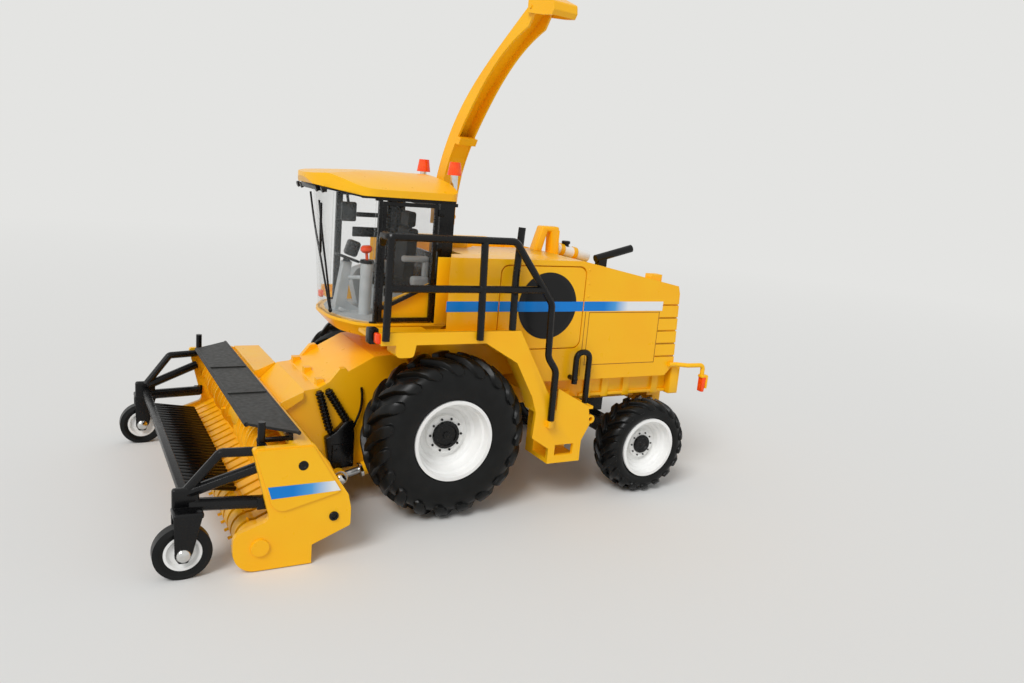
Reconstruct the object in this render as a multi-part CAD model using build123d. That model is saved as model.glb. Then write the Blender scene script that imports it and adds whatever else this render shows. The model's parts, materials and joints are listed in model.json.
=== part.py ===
from build123d import *
import os
from math import radians, sin

# Forage harvester, a 1:32 die-cast model with a pick-up header and a raised spout.
# Millimetres. +X is forward, +Y the machine's left, +Z up, and the wheels stand on Z = 0.
# The model is built with X = 0 at the front axle; the last step moves X = 0 to the middle of its length.

# ---- running gear
RUN = 0.05  # radial clearance of a pin or shaft that turns
GAP = 0.3  # clearance between faces that move past each other
WHEELBASE = 85.0
STUB_R = 2.0  # axle stub that a large wheel turns on
STUB_DEPTH = 5.2  # how deep the stub goes into the wheel's hub
FRONT_WHEEL = {"tyre": 29.0, "width": 21.0, "rim": 14.2, "seat": 13.3, "hub": 4.4, "dish": 8.4, "y": 38.8}
REAR_WHEEL = {"tyre": 18.7, "width": 14.5, "rim": 11.7, "seat": 10.9, "hub": 3.4, "dish": 5.6, "y": 39.8}
KINGPIN_Y = 29.0
KINGPIN_R = 1.3
KNUCKLE_HALF = 4.4  # half the gap between the axle's jaws
STEER_ARM = 10.0  # kingpin to tie rod pin
TIE_PIN_R = 0.8
TIE_ROD_Z = 13.5

# ---- frame
RAIL_HALF = 17.0  # outside of the two frame rails
RAIL_WALL = 2.5
DECK_Z = 41.0
DECK_HALF = 36.0
CORE_HALF = 24.0
REAR_PLATE_HALF = 39.0
ARCH_X = -33.5  # rear end of the front wheel arch
ARCH = [(-24.0, 61.0), (-19.0, 62.8)]  # its slope up to the flat above the wheel
HITCH_R = 1.25
HITCH_Z = 34.0

# ---- body
BODY_HALF = 40.0
BODY_FRONT = 5.2
CAB_HALF = 24.5
NOTCH_HALF = CAB_HALF + 5.5  # inside of the two cheeks beside the cab
BODY_REAR = -WHEELBASE - 12.5
TAIL_TOP_X = BODY_REAR + 2.2
SKIRT_Z = 46.0
TOP_Z = 90.3
RIDGE_Y = 3.0  # the right half of the engine deck lies lower from here
LOW_DECK_Z = 82.0
SLOPE_X = -50.0  # where the hood starts to slope down
TAIL_Z = 81.6
DOOR = {"front": -17.0, "rear": -51.5, "low": 58.5, "high": 88.0, "corner": 3.0, "wall": 1.2}
PANEL_GAP = 0.4
SCREEN = {"x": -36.5, "z": 74.0, "r": 12.0, "stand": 0.4}
LOUVRES = 5
LOUVRE_PITCH = 5.1

TANK_R = 2.3
TANK_Y = -3.0

# ---- cab
CAB_REAR = -4.8
PLAN_LOW_X = 33.0  # front of the windscreen at the floor
PLAN_HIGH_X = 36.4  # and under the roof
PAN_LOW = 59.5
PAN_LIP = 0.6
FLOOR_Z = 65.0
EAVES_Z = 107.8
RING = 1.2  # height of the ring under the roof
GLASS = 0.9
PILLAR_X = 21.4  # front edge of the door
PILLAR_WALL = 2.2
SIDE_WALL = 1.6
POST_X = 0.6  # front face of the rear pillar
DOOR_BAR = 1.3
DOOR_WALL = 1.2
DOOR_PIN_X = POST_X + 1.3
DOOR_PIN_Y = CAB_HALF - 0.55
DOOR_PIN_R = 0.45
ROOF_HALF = CAB_HALF + 2.0
ROOF_REAR = -5.5
ROOF_FRONT = 42.5
ROOF_CREST = 115.7
VISOR_X = 29.0  # where the roof starts to rise into the visor
REAR_PANE_LOW = 88.0
REAR_PANE_HIGH = 104.5
BEACON_X = -8.3
BEACON_Y = 14.3
COLUMN = [(19.0, FLOOR_Z), (29.0, FLOOR_Z), (29.0, 68.0), (26.6, 83.0), (23.6, 83.0), (25.0, 69.0)]

# ---- platforms and rails
PLATFORM_Y = 48.0
PLATFORM_FRONT = {"left": 28.0, "right": 20.0}
PLATFORM_LOW = 62.8
APRON_X = 13.0  # rear of the block that hangs under the platform ahead of the wheel
PLATFORM_Z = 64.0  # top of the deck
LIP_Z = 66.9  # top of the toe board round it
LIP_WALL = 1.5
TUBE_R = 0.8
RAIL_TOP = 97.2
RAIL_MID = 81.2
TURN_LENS = {"left": (63.0, 66.9), "right": (61.9, 64.8)}  # its foot and top on each side
MARKER_R = 0.9
MARKER_Y = 44.0

# ---- feeder house, header and lift
FEEDER_HALF = 20.0
STOPS_Y = (4.0 - FEEDER_HALF, 0.0, FEEDER_HALF - 4.0)  # raised stops across the feeder's top
LIFT_X = 10.0
LIFT_Z = 36.0
LIFT_PIN_R = 1.5
CYLINDER = {"y": FEEDER_HALF + 4.9, "foot": (2.0, 19.0), "eye": (32.2, 11.0), "barrel_r": 2.4, "rod_r": 1.2}
STROKE_ROOM = 7.5  # from the end of the barrel to the rod's eye
FOOT_PIN_R = 1.2
EYE_PIN_R = 1.0
EYE_HALF = 1.6
EYE_SLACK = 0.35  # the rod's eye is loose on its pin, because it drifts as the header lifts
HEADER_HALF = 61.0  # inside of the end plates
END_WALL = 2.4
REEL = {"x": 67.0, "z": 7.6, "tine_r": 6.9, "tube_r": 2.6, "rows": 4}
REEL_PIN_R = 1.2
FLOOR_LOW = 1.5
STRIPPER_R = 5.7
STRIPPER_WALL = 0.7
STRIPPERS = 21
STRIPPER_GAP = 1.6
MOUTH_HALF = 15.0  # throat between header and feeder house
MOUTH_LOW = 19.0
MOUTH_HIGH = 32.0
BACK_WALL = [(41.4, 11.0), (41.4, 17.0), (42.6, 21.5), (46.9, 31.0), (50.3, 35.054), (52.1, 37.2)]
FLIGHT_TURNS = 3
FLIGHT_WALL = 0.9
BEARING = 1.6  # length of the pins that carry reel and auger
AUGER = {"x": 57.0, "z": 26.0, "r": 7.8, "core": 3.0, "pitch": 15.0, "shaft": 1.5}
POST_Y = HEADER_HALF - 3.0
GUARD_Y = HEADER_HALF - 3.8
GUARD_BAR_X = 86.5
GUARD_BAR_Z = 22.6
COMB_RODS = 29
COMB_PITCH = 3.0
COMB_R = 0.55
GAUGE = {"x": 87.6, "y": HEADER_HALF - 1.9, "r": 8.0, "width": 4.6, "rim": 5.2, "pin": 0.9}

# ---- spout
TURRET_X = -14.5
TURRET_R = 8.4
SPOUT_HEADING = 80.0  # degrees from straight back, towards the left
SPOUT_HALF = 3.8
SPOUT_WALL = 0.8
SPOUT_PIN = (-3.8, 100.5)  # ahead of the turret's middle, above the ground
SPOUT_PIN_R = 0.9
SPOUT_END_Z = 97.6
NECK_HALF = 2.5
FLAP_PIN = (43.4, 171.2)
FLAP_PIN_R = 0.5


# ---- helpers
def face(points, plane):
    # A flat outline from (a, b) or (a, b, corner radius) rows.
    radii = [row[2] if len(row) > 2 else 0 for row in points]
    corners = [(row[0], row[1]) for row in points]
    if any(radii):
        line = FilletPolyline(*corners, radius=radii, close=True)
    else:
        line = Polyline(*corners, close=True)
    return plane * make_face(line)


def along_y(points, low, high):
    # (x, z) outline, from y = low to y = high.
    return extrude(face(points, Plane.XZ.offset(-high)), high - low)


def along_x(points, low, high):
    # (y, z) outline, from x = low to x = high.
    return extrude(face(points, Plane.YZ.offset(low)), high - low)


def along_z(points, low, high):
    # (x, y) outline, from z = low to z = high.
    return extrude(face(points, Plane.XY.offset(low)), high - low)


def block(low, high):
    # A box between two corners.
    size = [b - a for a, b in zip(low, high)]
    return Pos(*low) * Box(*size, align=(Align.MIN, Align.MIN, Align.MIN))


def rod(start, end, radius):
    # A round bar between two points.
    start, end = Vector(start), Vector(end)
    base = Plane(origin=start, z_dir=end - start)
    return base * Cylinder(radius, (end - start).length, align=(Align.CENTER, Align.CENTER, Align.MIN))


def pipe(points, radius, bend):
    # A round bar through points, with every bend the same.
    path = FilletPolyline(*points, radius=bend)
    return sweep(Plane(origin=path @ 0, z_dir=path % 0) * Circle(radius), path=path)


def turned(rows, x, y, z):
    # Revolved about a line along Y. Rows are (distance outward along Y, radius).
    outline = make_face(Polyline(*[(radius, out) for out, radius in rows], close=True))
    return Pos(x, y, z) * revolve(outline, Axis.Y, 360)


def flip(shape):
    # The same piece on the machine's right.
    return mirror(shape, about=Plane.XZ)


def both(shape):
    # One node with the same piece on both sides.
    return Compound(children=[shape, flip(shape)])


# ---- wheels
def bore_end(wheel):
    # Floor of the hub's blind bore, measured outward from the tyre's middle.
    return wheel["width"] * 0.39 - wheel["dish"] + 1.0


def tyre(wheel):
    # Bulged sides and rounded shoulders on the rim's seat.
    half, radius, seat, flange = wheel["width"] / 2, wheel["tyre"], wheel["seat"], wheel["rim"]
    side = [(0.78, seat), (0.78, flange), (1.0, (radius + seat) / 2), (0.93, radius * 0.9), (0.72, radius)]
    rows = [(half * share, r) for share, r in side]
    rows += [(-out, r) for out, r in reversed(rows)]
    return turned(rows, 0, 0, 0)


def rim(wheel):
    # A stepped dish in a rolled barrel, with a hub bored from behind.
    edge, radius, seat, hub = wheel["width"] * 0.39, wheel["rim"], wheel["seat"], wheel["hub"]
    disc = edge - wheel["dish"]
    rows = [
        (edge + 1.0, radius - 1.2),
        (edge + 1.0, radius),
        (edge, radius),
        (edge, seat),
        (-edge, seat),
        (-edge, radius),
        (-edge - 0.8, radius),
        (-edge - 0.8, radius - 1.8),
        (disc - 2.2, radius - 2.6),
        (disc - 2.2, hub + 1.0),
        (disc - STUB_DEPTH + 1.0, hub + 1.0),
        (disc - STUB_DEPTH + 1.0, STUB_R + RUN),
        (disc + 1.0, STUB_R + RUN),
        (disc + 1.0, 0),
        (disc + 2.2, 0),
        (disc + 2.2, hub - 0.6),
        (disc + 1.6, hub),
        (disc, hub),
        (disc, radius * 0.62),
        (disc + 2.0, radius * 0.68),
        (disc + 2.4, radius * 0.76),
        (edge - 2.2, radius - 2.3),
        (edge - 1.8, radius - 1.6),
    ]
    return turned(rows, 0, 0, 0)


def gauge_tyre():
    half, radius = GAUGE["width"] / 2, GAUGE["r"]
    rows = [(half * 0.8, GAUGE["rim"]), (half, radius - 1.4), (half * 0.75, radius)]
    rows += [(-out, r) for out, r in reversed(rows)]
    return turned(rows, 0, 0, 0)


def gauge_rim():
    # A flat disc with a rolled edge and a bored hub.
    half, pin = GAUGE["width"] * 0.4, GAUGE["pin"] + RUN
    rows = [(half, GAUGE["rim"]), (half, GAUGE["rim"] - 0.8), (0.8, GAUGE["rim"] - 1.4)]
    rows += [(0.8, 2.2), (half + 0.3, 2.0), (half + 0.3, pin)]
    rows += [(-out, r) for out, r in reversed(rows)]
    return turned(rows, 0, 0, 0)


# ---- axles
def front_axle():
    # A square beam, a round reducer each side and the stub that the wheel turns on.
    z, beam_end = FRONT_WHEEL["tyre"], RAIL_HALF + 8
    hub_end = FRONT_WHEEL["y"] + bore_end(FRONT_WHEEL)
    beam = block((-4.5, -beam_end, z - 4), (4.5, beam_end, z + 4))
    side = rod((0, beam_end, z), (0, hub_end - STUB_DEPTH - GAP, z), 5.5)
    side += rod((0, beam_end, z), (0, hub_end - GAP, z), STUB_R)
    return beam + side + flip(side)


def rear_axle():
    # A beam with a forked jaw and kingpin each side, and the boss that it hangs from.
    x, z = -WHEELBASE, REAR_WHEEL["tyre"]
    jaw_root, jaw_wall = KINGPIN_Y - 4.2, 1.8
    outer = KNUCKLE_HALF + jaw_wall
    beam = block((x - 3, -jaw_root, z - 3), (x + 3, jaw_root, z + 3))
    boss = block((x - 5, -6, z + 3), (x + 5, 6, DECK_Z - 10))
    side = block((x - 3, jaw_root - 2.5, z - outer), (x + 3, jaw_root, z + outer))
    for low in (z - outer, z + KNUCKLE_HALF):
        side += block((x - 3, jaw_root - 1, low), (x + 3, KINGPIN_Y, low + jaw_wall))
        side += rod((x, KINGPIN_Y, low), (x, KINGPIN_Y, low + jaw_wall), 3)
    side += rod((x, KINGPIN_Y, z - outer), (x, KINGPIN_Y, z + outer), KINGPIN_R)
    return beam + boss + side + flip(side)


def knuckle():
    # The block on the kingpin, its stub axle, and the steering arm that reaches back to the tie rod.
    x, z = -WHEELBASE, REAR_WHEEL["tyre"]
    low, high = z - KNUCKLE_HALF + GAP, z + KNUCKLE_HALF - GAP
    hub_end = REAR_WHEEL["y"] + bore_end(REAR_WHEEL)
    body = rod((x, KINGPIN_Y, low), (x, KINGPIN_Y, high), 3)
    body += rod((x, KINGPIN_Y, z), (x, hub_end - STUB_DEPTH - GAP, z), 3.2)
    body += rod((x, KINGPIN_Y, z), (x, hub_end - GAP, z), STUB_R)
    pin_x, arm_z = x - STEER_ARM, TIE_ROD_Z + 1.0 + GAP
    body += block((pin_x, KINGPIN_Y - 1.5, arm_z), (x, KINGPIN_Y + 1.5, arm_z + 1.9))
    body += rod((pin_x, KINGPIN_Y, arm_z), (pin_x, KINGPIN_Y, arm_z + 1.9), 1.9)
    body += rod((pin_x, KINGPIN_Y, TIE_ROD_Z - 1.4), (pin_x, KINGPIN_Y, arm_z), TIE_PIN_R)
    return body - rod((x, KINGPIN_Y, low - 1), (x, KINGPIN_Y, high + 1), KINGPIN_R + RUN)


def tie_rod():
    # A round bar with an eye at each end, on the pins of the two steering arms.
    x = -WHEELBASE - STEER_ARM
    bar = rod((x, -KINGPIN_Y, TIE_ROD_Z), (x, KINGPIN_Y, TIE_ROD_Z), 0.9)
    for y in (KINGPIN_Y, -KINGPIN_Y):
        bar += Pos(x, y, TIE_ROD_Z) * Cylinder(1.8, 2.0)
        bar -= Pos(x, y, TIE_ROD_Z) * Cylinder(TIE_PIN_R + RUN, 4.0)
    return bar


# ---- chassis
def chassis():
    # Side rails, deck and belly plates, the core under the cab, lift brackets and the rear plate.
    axle_z, rear = FRONT_WHEEL["tyre"], BODY_REAR
    low, rail_low = axle_z - 9, DECK_Z - 10
    rail_rows = [
        (1.5, SKIRT_Z - 1, 0),
        (5.2, axle_z + 5, 0),
        (5.2, low, 1),
        (-12, low, 4),
        (-30, rail_low, 4),
        (rear, rail_low, 0),
        (rear, DECK_Z, 0),
        (ARCH_X, DECK_Z, 0),
        (ARCH_X, SKIRT_Z - 1, 0),
    ]
    rail = along_y(rail_rows, RAIL_HALF - RAIL_WALL, RAIL_HALF)
    frame = rail + flip(rail)
    frame += block((rear, -DECK_HALF, DECK_Z), (ARCH_X, DECK_HALF, SKIRT_Z))
    inner = RAIL_HALF - RAIL_WALL
    for x in (-22, -48, -WHEELBASE):
        frame += block((x - 2, -inner, rail_low), (x + 2, inner, DECK_Z))
    frame += block((-12, -inner, low), (3.2, inner, low + 1.6))
    notch_x = CAB_REAR - 1.5
    core_rows = [(ARCH_X, SKIRT_Z - 1), (ARCH_X, SKIRT_Z)] + ARCH
    core_rows += [(notch_x, ARCH[1][1]), (notch_x, PAN_LOW), (11, PAN_LOW), (11, 54.6)]
    core_rows += [(1.5, 54.2), (1.5, SKIRT_Z - 1)]
    frame += along_y(core_rows, -CORE_HALF, CORE_HALF)
    frame -= block((-4.5, -BODY_HALF, axle_z - 4), (4.5, BODY_HALF, axle_z + 4))
    frame += block((rear - 4.5, -REAR_PLATE_HALF, 38), (rear, REAR_PLATE_HALF, 47.5))
    frame += block((rear - 4.5, -26, 33.5), (rear, 26, 38))
    for z in (HITCH_Z, HITCH_Z + 6.2):
        frame += block((rear - 12, -3.2, z), (rear, 3.2, z + 1.8))
    frame -= rod((rear - 8.8, 0, HITCH_Z - 1), (rear - 8.8, 0, HITCH_Z + 9), HITCH_R)
    foot_x, foot_z = CYLINDER["foot"]
    reach = CYLINDER["barrel_r"] + GAP
    lug_y, pin_end = CYLINDER["y"] - reach, CYLINDER["y"] + reach
    side = block((foot_x - 2, RAIL_HALF - 1, foot_z - 2), (foot_x + 2, lug_y, foot_z + 2))
    side += rod((foot_x, lug_y, foot_z), (foot_x, pin_end, foot_z), FOOT_PIN_R)
    cheek = FEEDER_HALF + GAP
    side += block((-2, RAIL_HALF - 1, DECK_Z), (1.5, cheek + 2.2, SKIRT_Z - 1))
    lug = [(0, 45, 0), (0, 37.5, 0), (6, 33, 1), (13, 33, 2), (13, 39, 2), (6, 45, 0)]
    side += along_y(lug, cheek, cheek + 2.2)
    side += rod((LIFT_X, FEEDER_HALF - 3, LIFT_Z), (LIFT_X, cheek + 1, LIFT_Z), LIFT_PIN_R)
    return frame + side + flip(side)


# ---- body
def hood_points():
    # Side outline of the hood from its front top corner, down the slope to the tail.
    return [(SLOPE_X, TOP_Z), (TAIL_TOP_X, TAIL_Z), (TAIL_TOP_X - 1.0, TAIL_Z - 3)]


def hood_z(x):
    # Height of the sloping hood above the ground.
    return TOP_Z + (TAIL_Z - TOP_Z) * (SLOPE_X - x) / (SLOPE_X - TAIL_TOP_X)


def engine_housing():
    # The tall left half, the lower engine deck on the right, and the sloping tail across both.
    side_rows = [(BODY_FRONT, ARCH[1][1]), (BODY_FRONT, TOP_Z, 3)] + hood_points()
    side_rows += [(BODY_REAR, 50), (BODY_REAR + 4, SKIRT_Z), (ARCH_X, SKIRT_Z)] + ARCH
    body = along_y(side_rows, -BODY_HALF, BODY_HALF)
    body -= block((SLOPE_X - 8, -BODY_HALF + 4, LOW_DECK_Z), (BODY_FRONT + 1, RIDGE_Y, TOP_Z + 1))
    body -= block((CAB_REAR - 1.5, -NOTCH_HALF, PAN_LOW), (BODY_FRONT + 1, NOTCH_HALF, TOP_Z + 1))
    wall = DOOR["wall"]
    side_recess = along_y(door_outline(PANEL_GAP), BODY_HALF - wall, BODY_HALF + 1)
    body -= side_recess + flip(side_recess)
    body -= rod((TURRET_X, 0, LOW_DECK_Z), (TURRET_X, 0, TOP_Z + 1), TURRET_R + 0.6)
    cap_x = BODY_REAR + 9.5
    body += block((cap_x, 34, hood_z(cap_x) - 1.5), (cap_x + 5, 38, hood_z(cap_x) + 2.7))
    for i in range(LOUVRES):
        z = 53.5 + i * LOUVRE_PITCH
        for y in (-BODY_HALF, BODY_HALF - 0.6):
            body -= block((BODY_REAR - 1, y, z), (BODY_REAR + 10, y + 0.6, z + 0.6))
        body -= block((BODY_REAR - 1, -BODY_HALF + 6, z), (BODY_REAR + 1.2, BODY_HALF - 6, z + 1.8))
    return body


def door_outline(grow):
    # (x, z, corner) rows of the side door, grown by the panel gap where the body is cut.
    r = DOOR["corner"]
    low, high = DOOR["low"] - grow, DOOR["high"] + grow
    front, rear = DOOR["front"] + grow, DOOR["rear"] - grow
    return [(front, low, r), (front, high, r), (rear, high, r), (rear, low, r)]


def side_door():
    # A flush panel in the recess, with a round seat for the intake screen.
    x, z, floor = SCREEN["x"], SCREEN["z"], BODY_HALF - SCREEN["stand"]
    panel = along_y(door_outline(0), BODY_HALF - DOOR["wall"], BODY_HALF)
    return panel - rod((x, floor, z), (x, BODY_HALF + 1, z), SCREEN["r"])


def intake_screen():
    # A slightly domed disc on the door.
    rows = [(0, 0), (0, SCREEN["r"]), (0.5, SCREEN["r"]), (0.8, SCREEN["r"] - 2), (0.8, 0)]
    return turned(rows, SCREEN["x"], BODY_HALF - SCREEN["stand"], SCREEN["z"])


def hood_volume():
    # Everything under the hood, to trim what stands on it.
    side = [(BODY_FRONT, 60), (BODY_FRONT, TOP_Z)] + hood_points() + [(BODY_REAR, 60)]
    return along_y(side, -BODY_HALF, BODY_HALF)


def spout_cradle():
    # The A-shaped rest on the ridge of the hood, with a slot between its two legs.
    x, z = SLOPE_X, TOP_Z - 4
    outline = [(x - 2, z), (x - 4.6, z + 14.2, 1.5), (x - 12.4, z + 13.8, 1.5), (x - 15.3, z)]
    outline += [(x - 8.5, z), (x - 6.9, z + 10.2), (x - 6.1, z)]
    return along_y(outline, RIDGE_Y, RIDGE_Y + 5.5) - hood_volume()


def exhaust():
    # A straight stack laid back over the tail, on a foot.
    x, y = BODY_REAR + 18.5, 5
    foot = Vector(x, y, hood_z(x) + 2.4)
    lean = Vector(-17.6, 0, 4.8)
    stack = rod(foot, foot + lean, 1.6) - rod(foot + lean * 0.5, foot + lean * 1.1, 1.1)
    return stack + (block((x - 5, y - 1.4, hood_z(x) - 0.7), (x - 1, y + 1.4, foot.Z + 0.5)) - hood_volume())


def expansion_tank():
    # A small round tank that lies on the slope, with a filler neck.
    front, rear, lift = -65, -80, TANK_R + 0.1
    tank = rod((front, TANK_Y, hood_z(front) + lift), (rear, TANK_Y, hood_z(rear) + lift), TANK_R)
    neck_x = -69
    neck_z = hood_z(neck_x) + lift
    return tank + rod((neck_x, TANK_Y, neck_z), (neck_x, TANK_Y, neck_z + TANK_R + 1.2), 1.2)


# ---- cab
def cab_plan(front_x, inset):
    # The cab's outline drawn in by an inset: straight sides, rounded shoulders and a bowed nose.
    half, nose = CAB_HALF - inset, 9 - 0.23 * inset
    shoulder = front_x - 7.5 - 0.63 * inset
    side = [(CAB_REAR + inset, half, 1), (shoulder, half, 9 - inset), (front_x - inset, nose, 24 - inset)]
    return side + [(x, -y, r) for x, y, r in reversed(side)]


def cab_shell(inset, low, high):
    # The cab's outer volume between two heights, leaning forward towards the top.
    lean = (PLAN_HIGH_X - PLAN_LOW_X) / (EAVES_Z - FLOOR_Z)
    ends = [face(cab_plan(PLAN_LOW_X + lean * (z - FLOOR_Z), inset), Plane.XY.offset(z)) for z in (low, high)]
    return loft(Sketch() + ends, ruled=True)


def cab_base():
    # The rounded pan that carries the cab, and the low panels behind the doors.
    front, rim_low = PLAN_LOW_X + PAN_LIP, FLOOR_Z - 1
    pan = face(cab_plan(front, 4.5), Plane.XY.offset(PAN_LOW))
    rim_face = face(cab_plan(front, 0), Plane.XY.offset(rim_low))
    base = loft(Sketch() + [pan, rim_face], ruled=True)
    base += along_z(cab_plan(front, 0), rim_low, FLOOR_Z)
    panel = [(POST_X, FLOOR_Z), (POST_X, 79.4), (PILLAR_X, 71), (PILLAR_X, FLOOR_Z)]
    outside = CAB_HALF - SIDE_WALL
    side = along_y(panel, outside - 1.2, outside)
    return base + side + flip(side)


def cab_frame():
    # Door posts, rear posts, the ring under the roof, the fixed right-hand door and the beacon arms.
    half, top = CAB_HALF, EAVES_Z
    side = block((PILLAR_X, half - SIDE_WALL, FLOOR_Z), (PILLAR_X + PILLAR_WALL, half, top))
    side &= cab_shell(0, FLOOR_Z, top)
    side += block((CAB_REAR, half - SIDE_WALL - 1, FLOOR_Z), (POST_X, half, top))
    side += block((POST_X, half - SIDE_WALL, top - RING), (PILLAR_X, half, top))
    side += block((BEACON_X - 1.6, BEACON_Y - 1.6, 105.3), (CAB_REAR + 0.5, BEACON_Y + 1.6, 106.5))
    frame = side + flip(side)
    for low, high in ((FLOOR_Z, REAR_PANE_LOW), (REAR_PANE_HIGH, top)):
        frame += block((CAB_REAR, -half + 2, low), (CAB_REAR + 1.4, half - 2, high))
    bore = rod((DOOR_PIN_X, DOOR_PIN_Y, FLOOR_Z), (DOOR_PIN_X, DOOR_PIN_Y, top - GAP), DOOR_PIN_R + RUN)
    return frame - bore + flip(door_hoop(0))


def windows():
    # The wrapped windscreen ahead of the posts, the rear pane and the fixed right-hand pane.
    shell = cab_shell(0.05, FLOOR_Z, EAVES_Z + 1.4) - cab_shell(0.05 + GLASS, FLOOR_Z - 1, EAVES_Z + 2)
    screen = shell & block((PILLAR_X + PILLAR_WALL, -CAB_HALF, FLOOR_Z), (ROOF_FRONT, CAB_HALF, EAVES_Z + 2))
    screen -= along_y(visor_line() + [(ROOF_FRONT, ROOF_CREST), (ROOF_REAR, ROOF_CREST)], -ROOF_HALF, ROOF_HALF)
    inside = CAB_HALF - SIDE_WALL - 1
    rear = block((CAB_REAR + 0.2, -inside, REAR_PANE_LOW), (CAB_REAR + 0.2 + GLASS, inside, REAR_PANE_HIGH))
    return Compound(children=[screen, rear, flip(door_pane(0))])


def pane_rows(slack):
    # The window opening of a door, above its slanted bar.
    left, right = POST_X + 2 * slack + DOOR_BAR, PILLAR_X - slack - DOOR_BAR
    top = EAVES_Z - RING - slack - DOOR_BAR
    return [(left, 79.0), (left, top), (right, top), (right, 71.2), (right - 1, 71.2)]


def door_pane(slack):
    return along_y(pane_rows(slack), CAB_HALF - 0.9, CAB_HALF - 0.3)


def door_hoop(slack):
    # A hoop round the whole door with a slanted bar; slack is the gap that lets a hinged one turn.
    left, right = POST_X + 2 * slack, PILLAR_X - slack
    low, high = FLOOR_Z + 2 * slack, EAVES_Z - RING - slack
    hoop = block((left, CAB_HALF - DOOR_WALL, low), (right, CAB_HALF, high))
    hoop -= along_y(pane_rows(slack), CAB_HALF - 2, CAB_HALF + 1)
    left, right, low, bar = left + DOOR_BAR, right - DOOR_BAR, low + DOOR_BAR, DOOR_BAR
    lower = [(left, low), (left, 79 - bar), (right - 1, 71.2 - bar), (right, 71.2 - bar), (right, low)]
    return hoop - along_y(lower, CAB_HALF - 2, CAB_HALF + 1)


def door_frame():
    # The left door on its hinge pin, whose ends sit in the sill and the ring.
    low, high = FLOOR_Z + GAP, EAVES_Z - RING + 0.6
    return door_hoop(GAP) + rod((DOOR_PIN_X, DOOR_PIN_Y, low), (DOOR_PIN_X, DOOR_PIN_Y, high), DOOR_PIN_R)


def visor_line():
    # Underside of the roof, flat over the cab and rising under the visor.
    return [(ROOF_REAR, EAVES_Z), (VISOR_X, EAVES_Z), (ROOF_FRONT - 1.5, EAVES_Z + 2.1)]


def roof_plan(inset):
    # Outline of the roof from above, drawn in by an inset.
    half = ROOF_HALF - inset
    side = [(ROOF_REAR + inset, half, 3), (ROOF_FRONT - 13.5 - inset, half, 10), (ROOF_FRONT - inset, 8, 20)]
    return side + [(x, -y, r) for x, y, r in reversed(side)]


def cab_roof():
    # A low dome with a visor: a side profile, an arched front profile and a plan in one.
    crest, front = ROOF_CREST, ROOF_FRONT
    with BuildPart() as profile:
        with BuildSketch(Plane.XZ.offset(-ROOF_HALF)):
            with BuildLine():
                Polyline(*visor_line(), (front, EAVES_Z + 4.2), (front, crest - 2.3))
                ThreePointArc((front, crest - 2.3), (19.5, crest - 0.3), (ROOF_REAR + 2.5, crest))
                Polyline((ROOF_REAR + 2.5, crest), (ROOF_REAR, crest - 2.2), (ROOF_REAR, EAVES_Z))
            make_face()
        extrude(amount=2 * ROOF_HALF)
    with BuildPart() as arch:
        with BuildSketch(Plane.YZ.offset(ROOF_REAR - 1)):
            with BuildLine():
                left, right = (-ROOF_HALF, crest - 5.5), (ROOF_HALF, crest - 5.5)
                ThreePointArc(left, (0, crest), right)
                Polyline(right, (ROOF_HALF, EAVES_Z - 1), (-ROOF_HALF, EAVES_Z - 1), left)
            make_face()
        extrude(amount=ROOF_FRONT - ROOF_REAR + 2)
    return profile.part & arch.part & along_z(roof_plan(0), EAVES_Z - 1, crest + 1)


def light_bar():
    # The dark tray of work lamps under the visor.
    x, z = PLAN_HIGH_X, EAVES_Z
    rise = 2.1 / (ROOF_FRONT - 1.5 - VISOR_X)
    rows = [(px, z + rise * (px - VISOR_X)) for px in (x + 0.6, x + 4)]
    rows += [(x + 3.4, z + 0.3), (x + 0.8, z - 0.3)]
    return along_y(rows, -20, 20) & along_z(roof_plan(1.2), EAVES_Z - 1, EAVES_Z + 4)


def beacon_post():
    return rod((BEACON_X, BEACON_Y, 106.5), (BEACON_X, BEACON_Y, 116.4), 1.3)


def beacon_lens():
    # A cone that is wider at its foot.
    lens = Cone(2.6, 1.9, 4.6, align=(Align.CENTER, Align.CENTER, Align.MIN))
    return Pos(BEACON_X, BEACON_Y, 116.4) * lens


def seat():
    cushion = along_y([(3, 74.5, 1), (17, 75.5, 1), (17, 78.8, 1.2), (3, 77.8, 1)], -6, 6)
    back = along_y([(1.5, 76, 1), (5.5, 76, 1), (4.0, 96, 1), (0.4, 96, 1)], -5.5, 5.5)
    head = along_y([(0.9, 96.5, 1), (3.9, 96.5, 1), (3.7, 102, 1), (0.8, 102, 1)], -3.6, 3.6)
    stem = block((1.6, -2.2, 95), (3.0, 2.2, 97.5))
    return cushion + back + head + stem


def console():
    # Seat plinth, the side console and the leaning steering column on one floor moulding.
    base = block((3, -16, FLOOR_Z), (20, 9, FLOOR_Z + 0.9))
    base += along_y([(5, FLOOR_Z), (5, 74.64), (15, 75.35), (15, FLOOR_Z)], -5, 5)
    side = [(4, FLOOR_Z, 0), (4, 82, 1.5), (9, 82, 1.5), (18, 79, 1.5), (20, 76, 1), (17, FLOOR_Z, 0)]
    base += along_y(side, -15, -9)
    return base + along_y(COLUMN, -1.8, 1.8)


def steering_wheel():
    # A ring of six-sided section on two spokes and a boss, tilted on top of the column.
    r, t = 4.2, 0.5
    section = Plane.XZ * Pos(r, 0) * RegularPolygon(t, 6)
    wheel = revolve(section, Axis.Z, 360) + Pos(0, 0, -0.6) * Cylinder(1.3, 1.6)
    for turn in (0, 90):
        wheel += Rot(0, 0, turn) * Box(2 * r - 0.4, 0.9, 0.7)
    return Pos(24.8, 0, 84.2) * Rot(0, -18, 0) * wheel - along_y(COLUMN, -1.8, 1.8)


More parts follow.
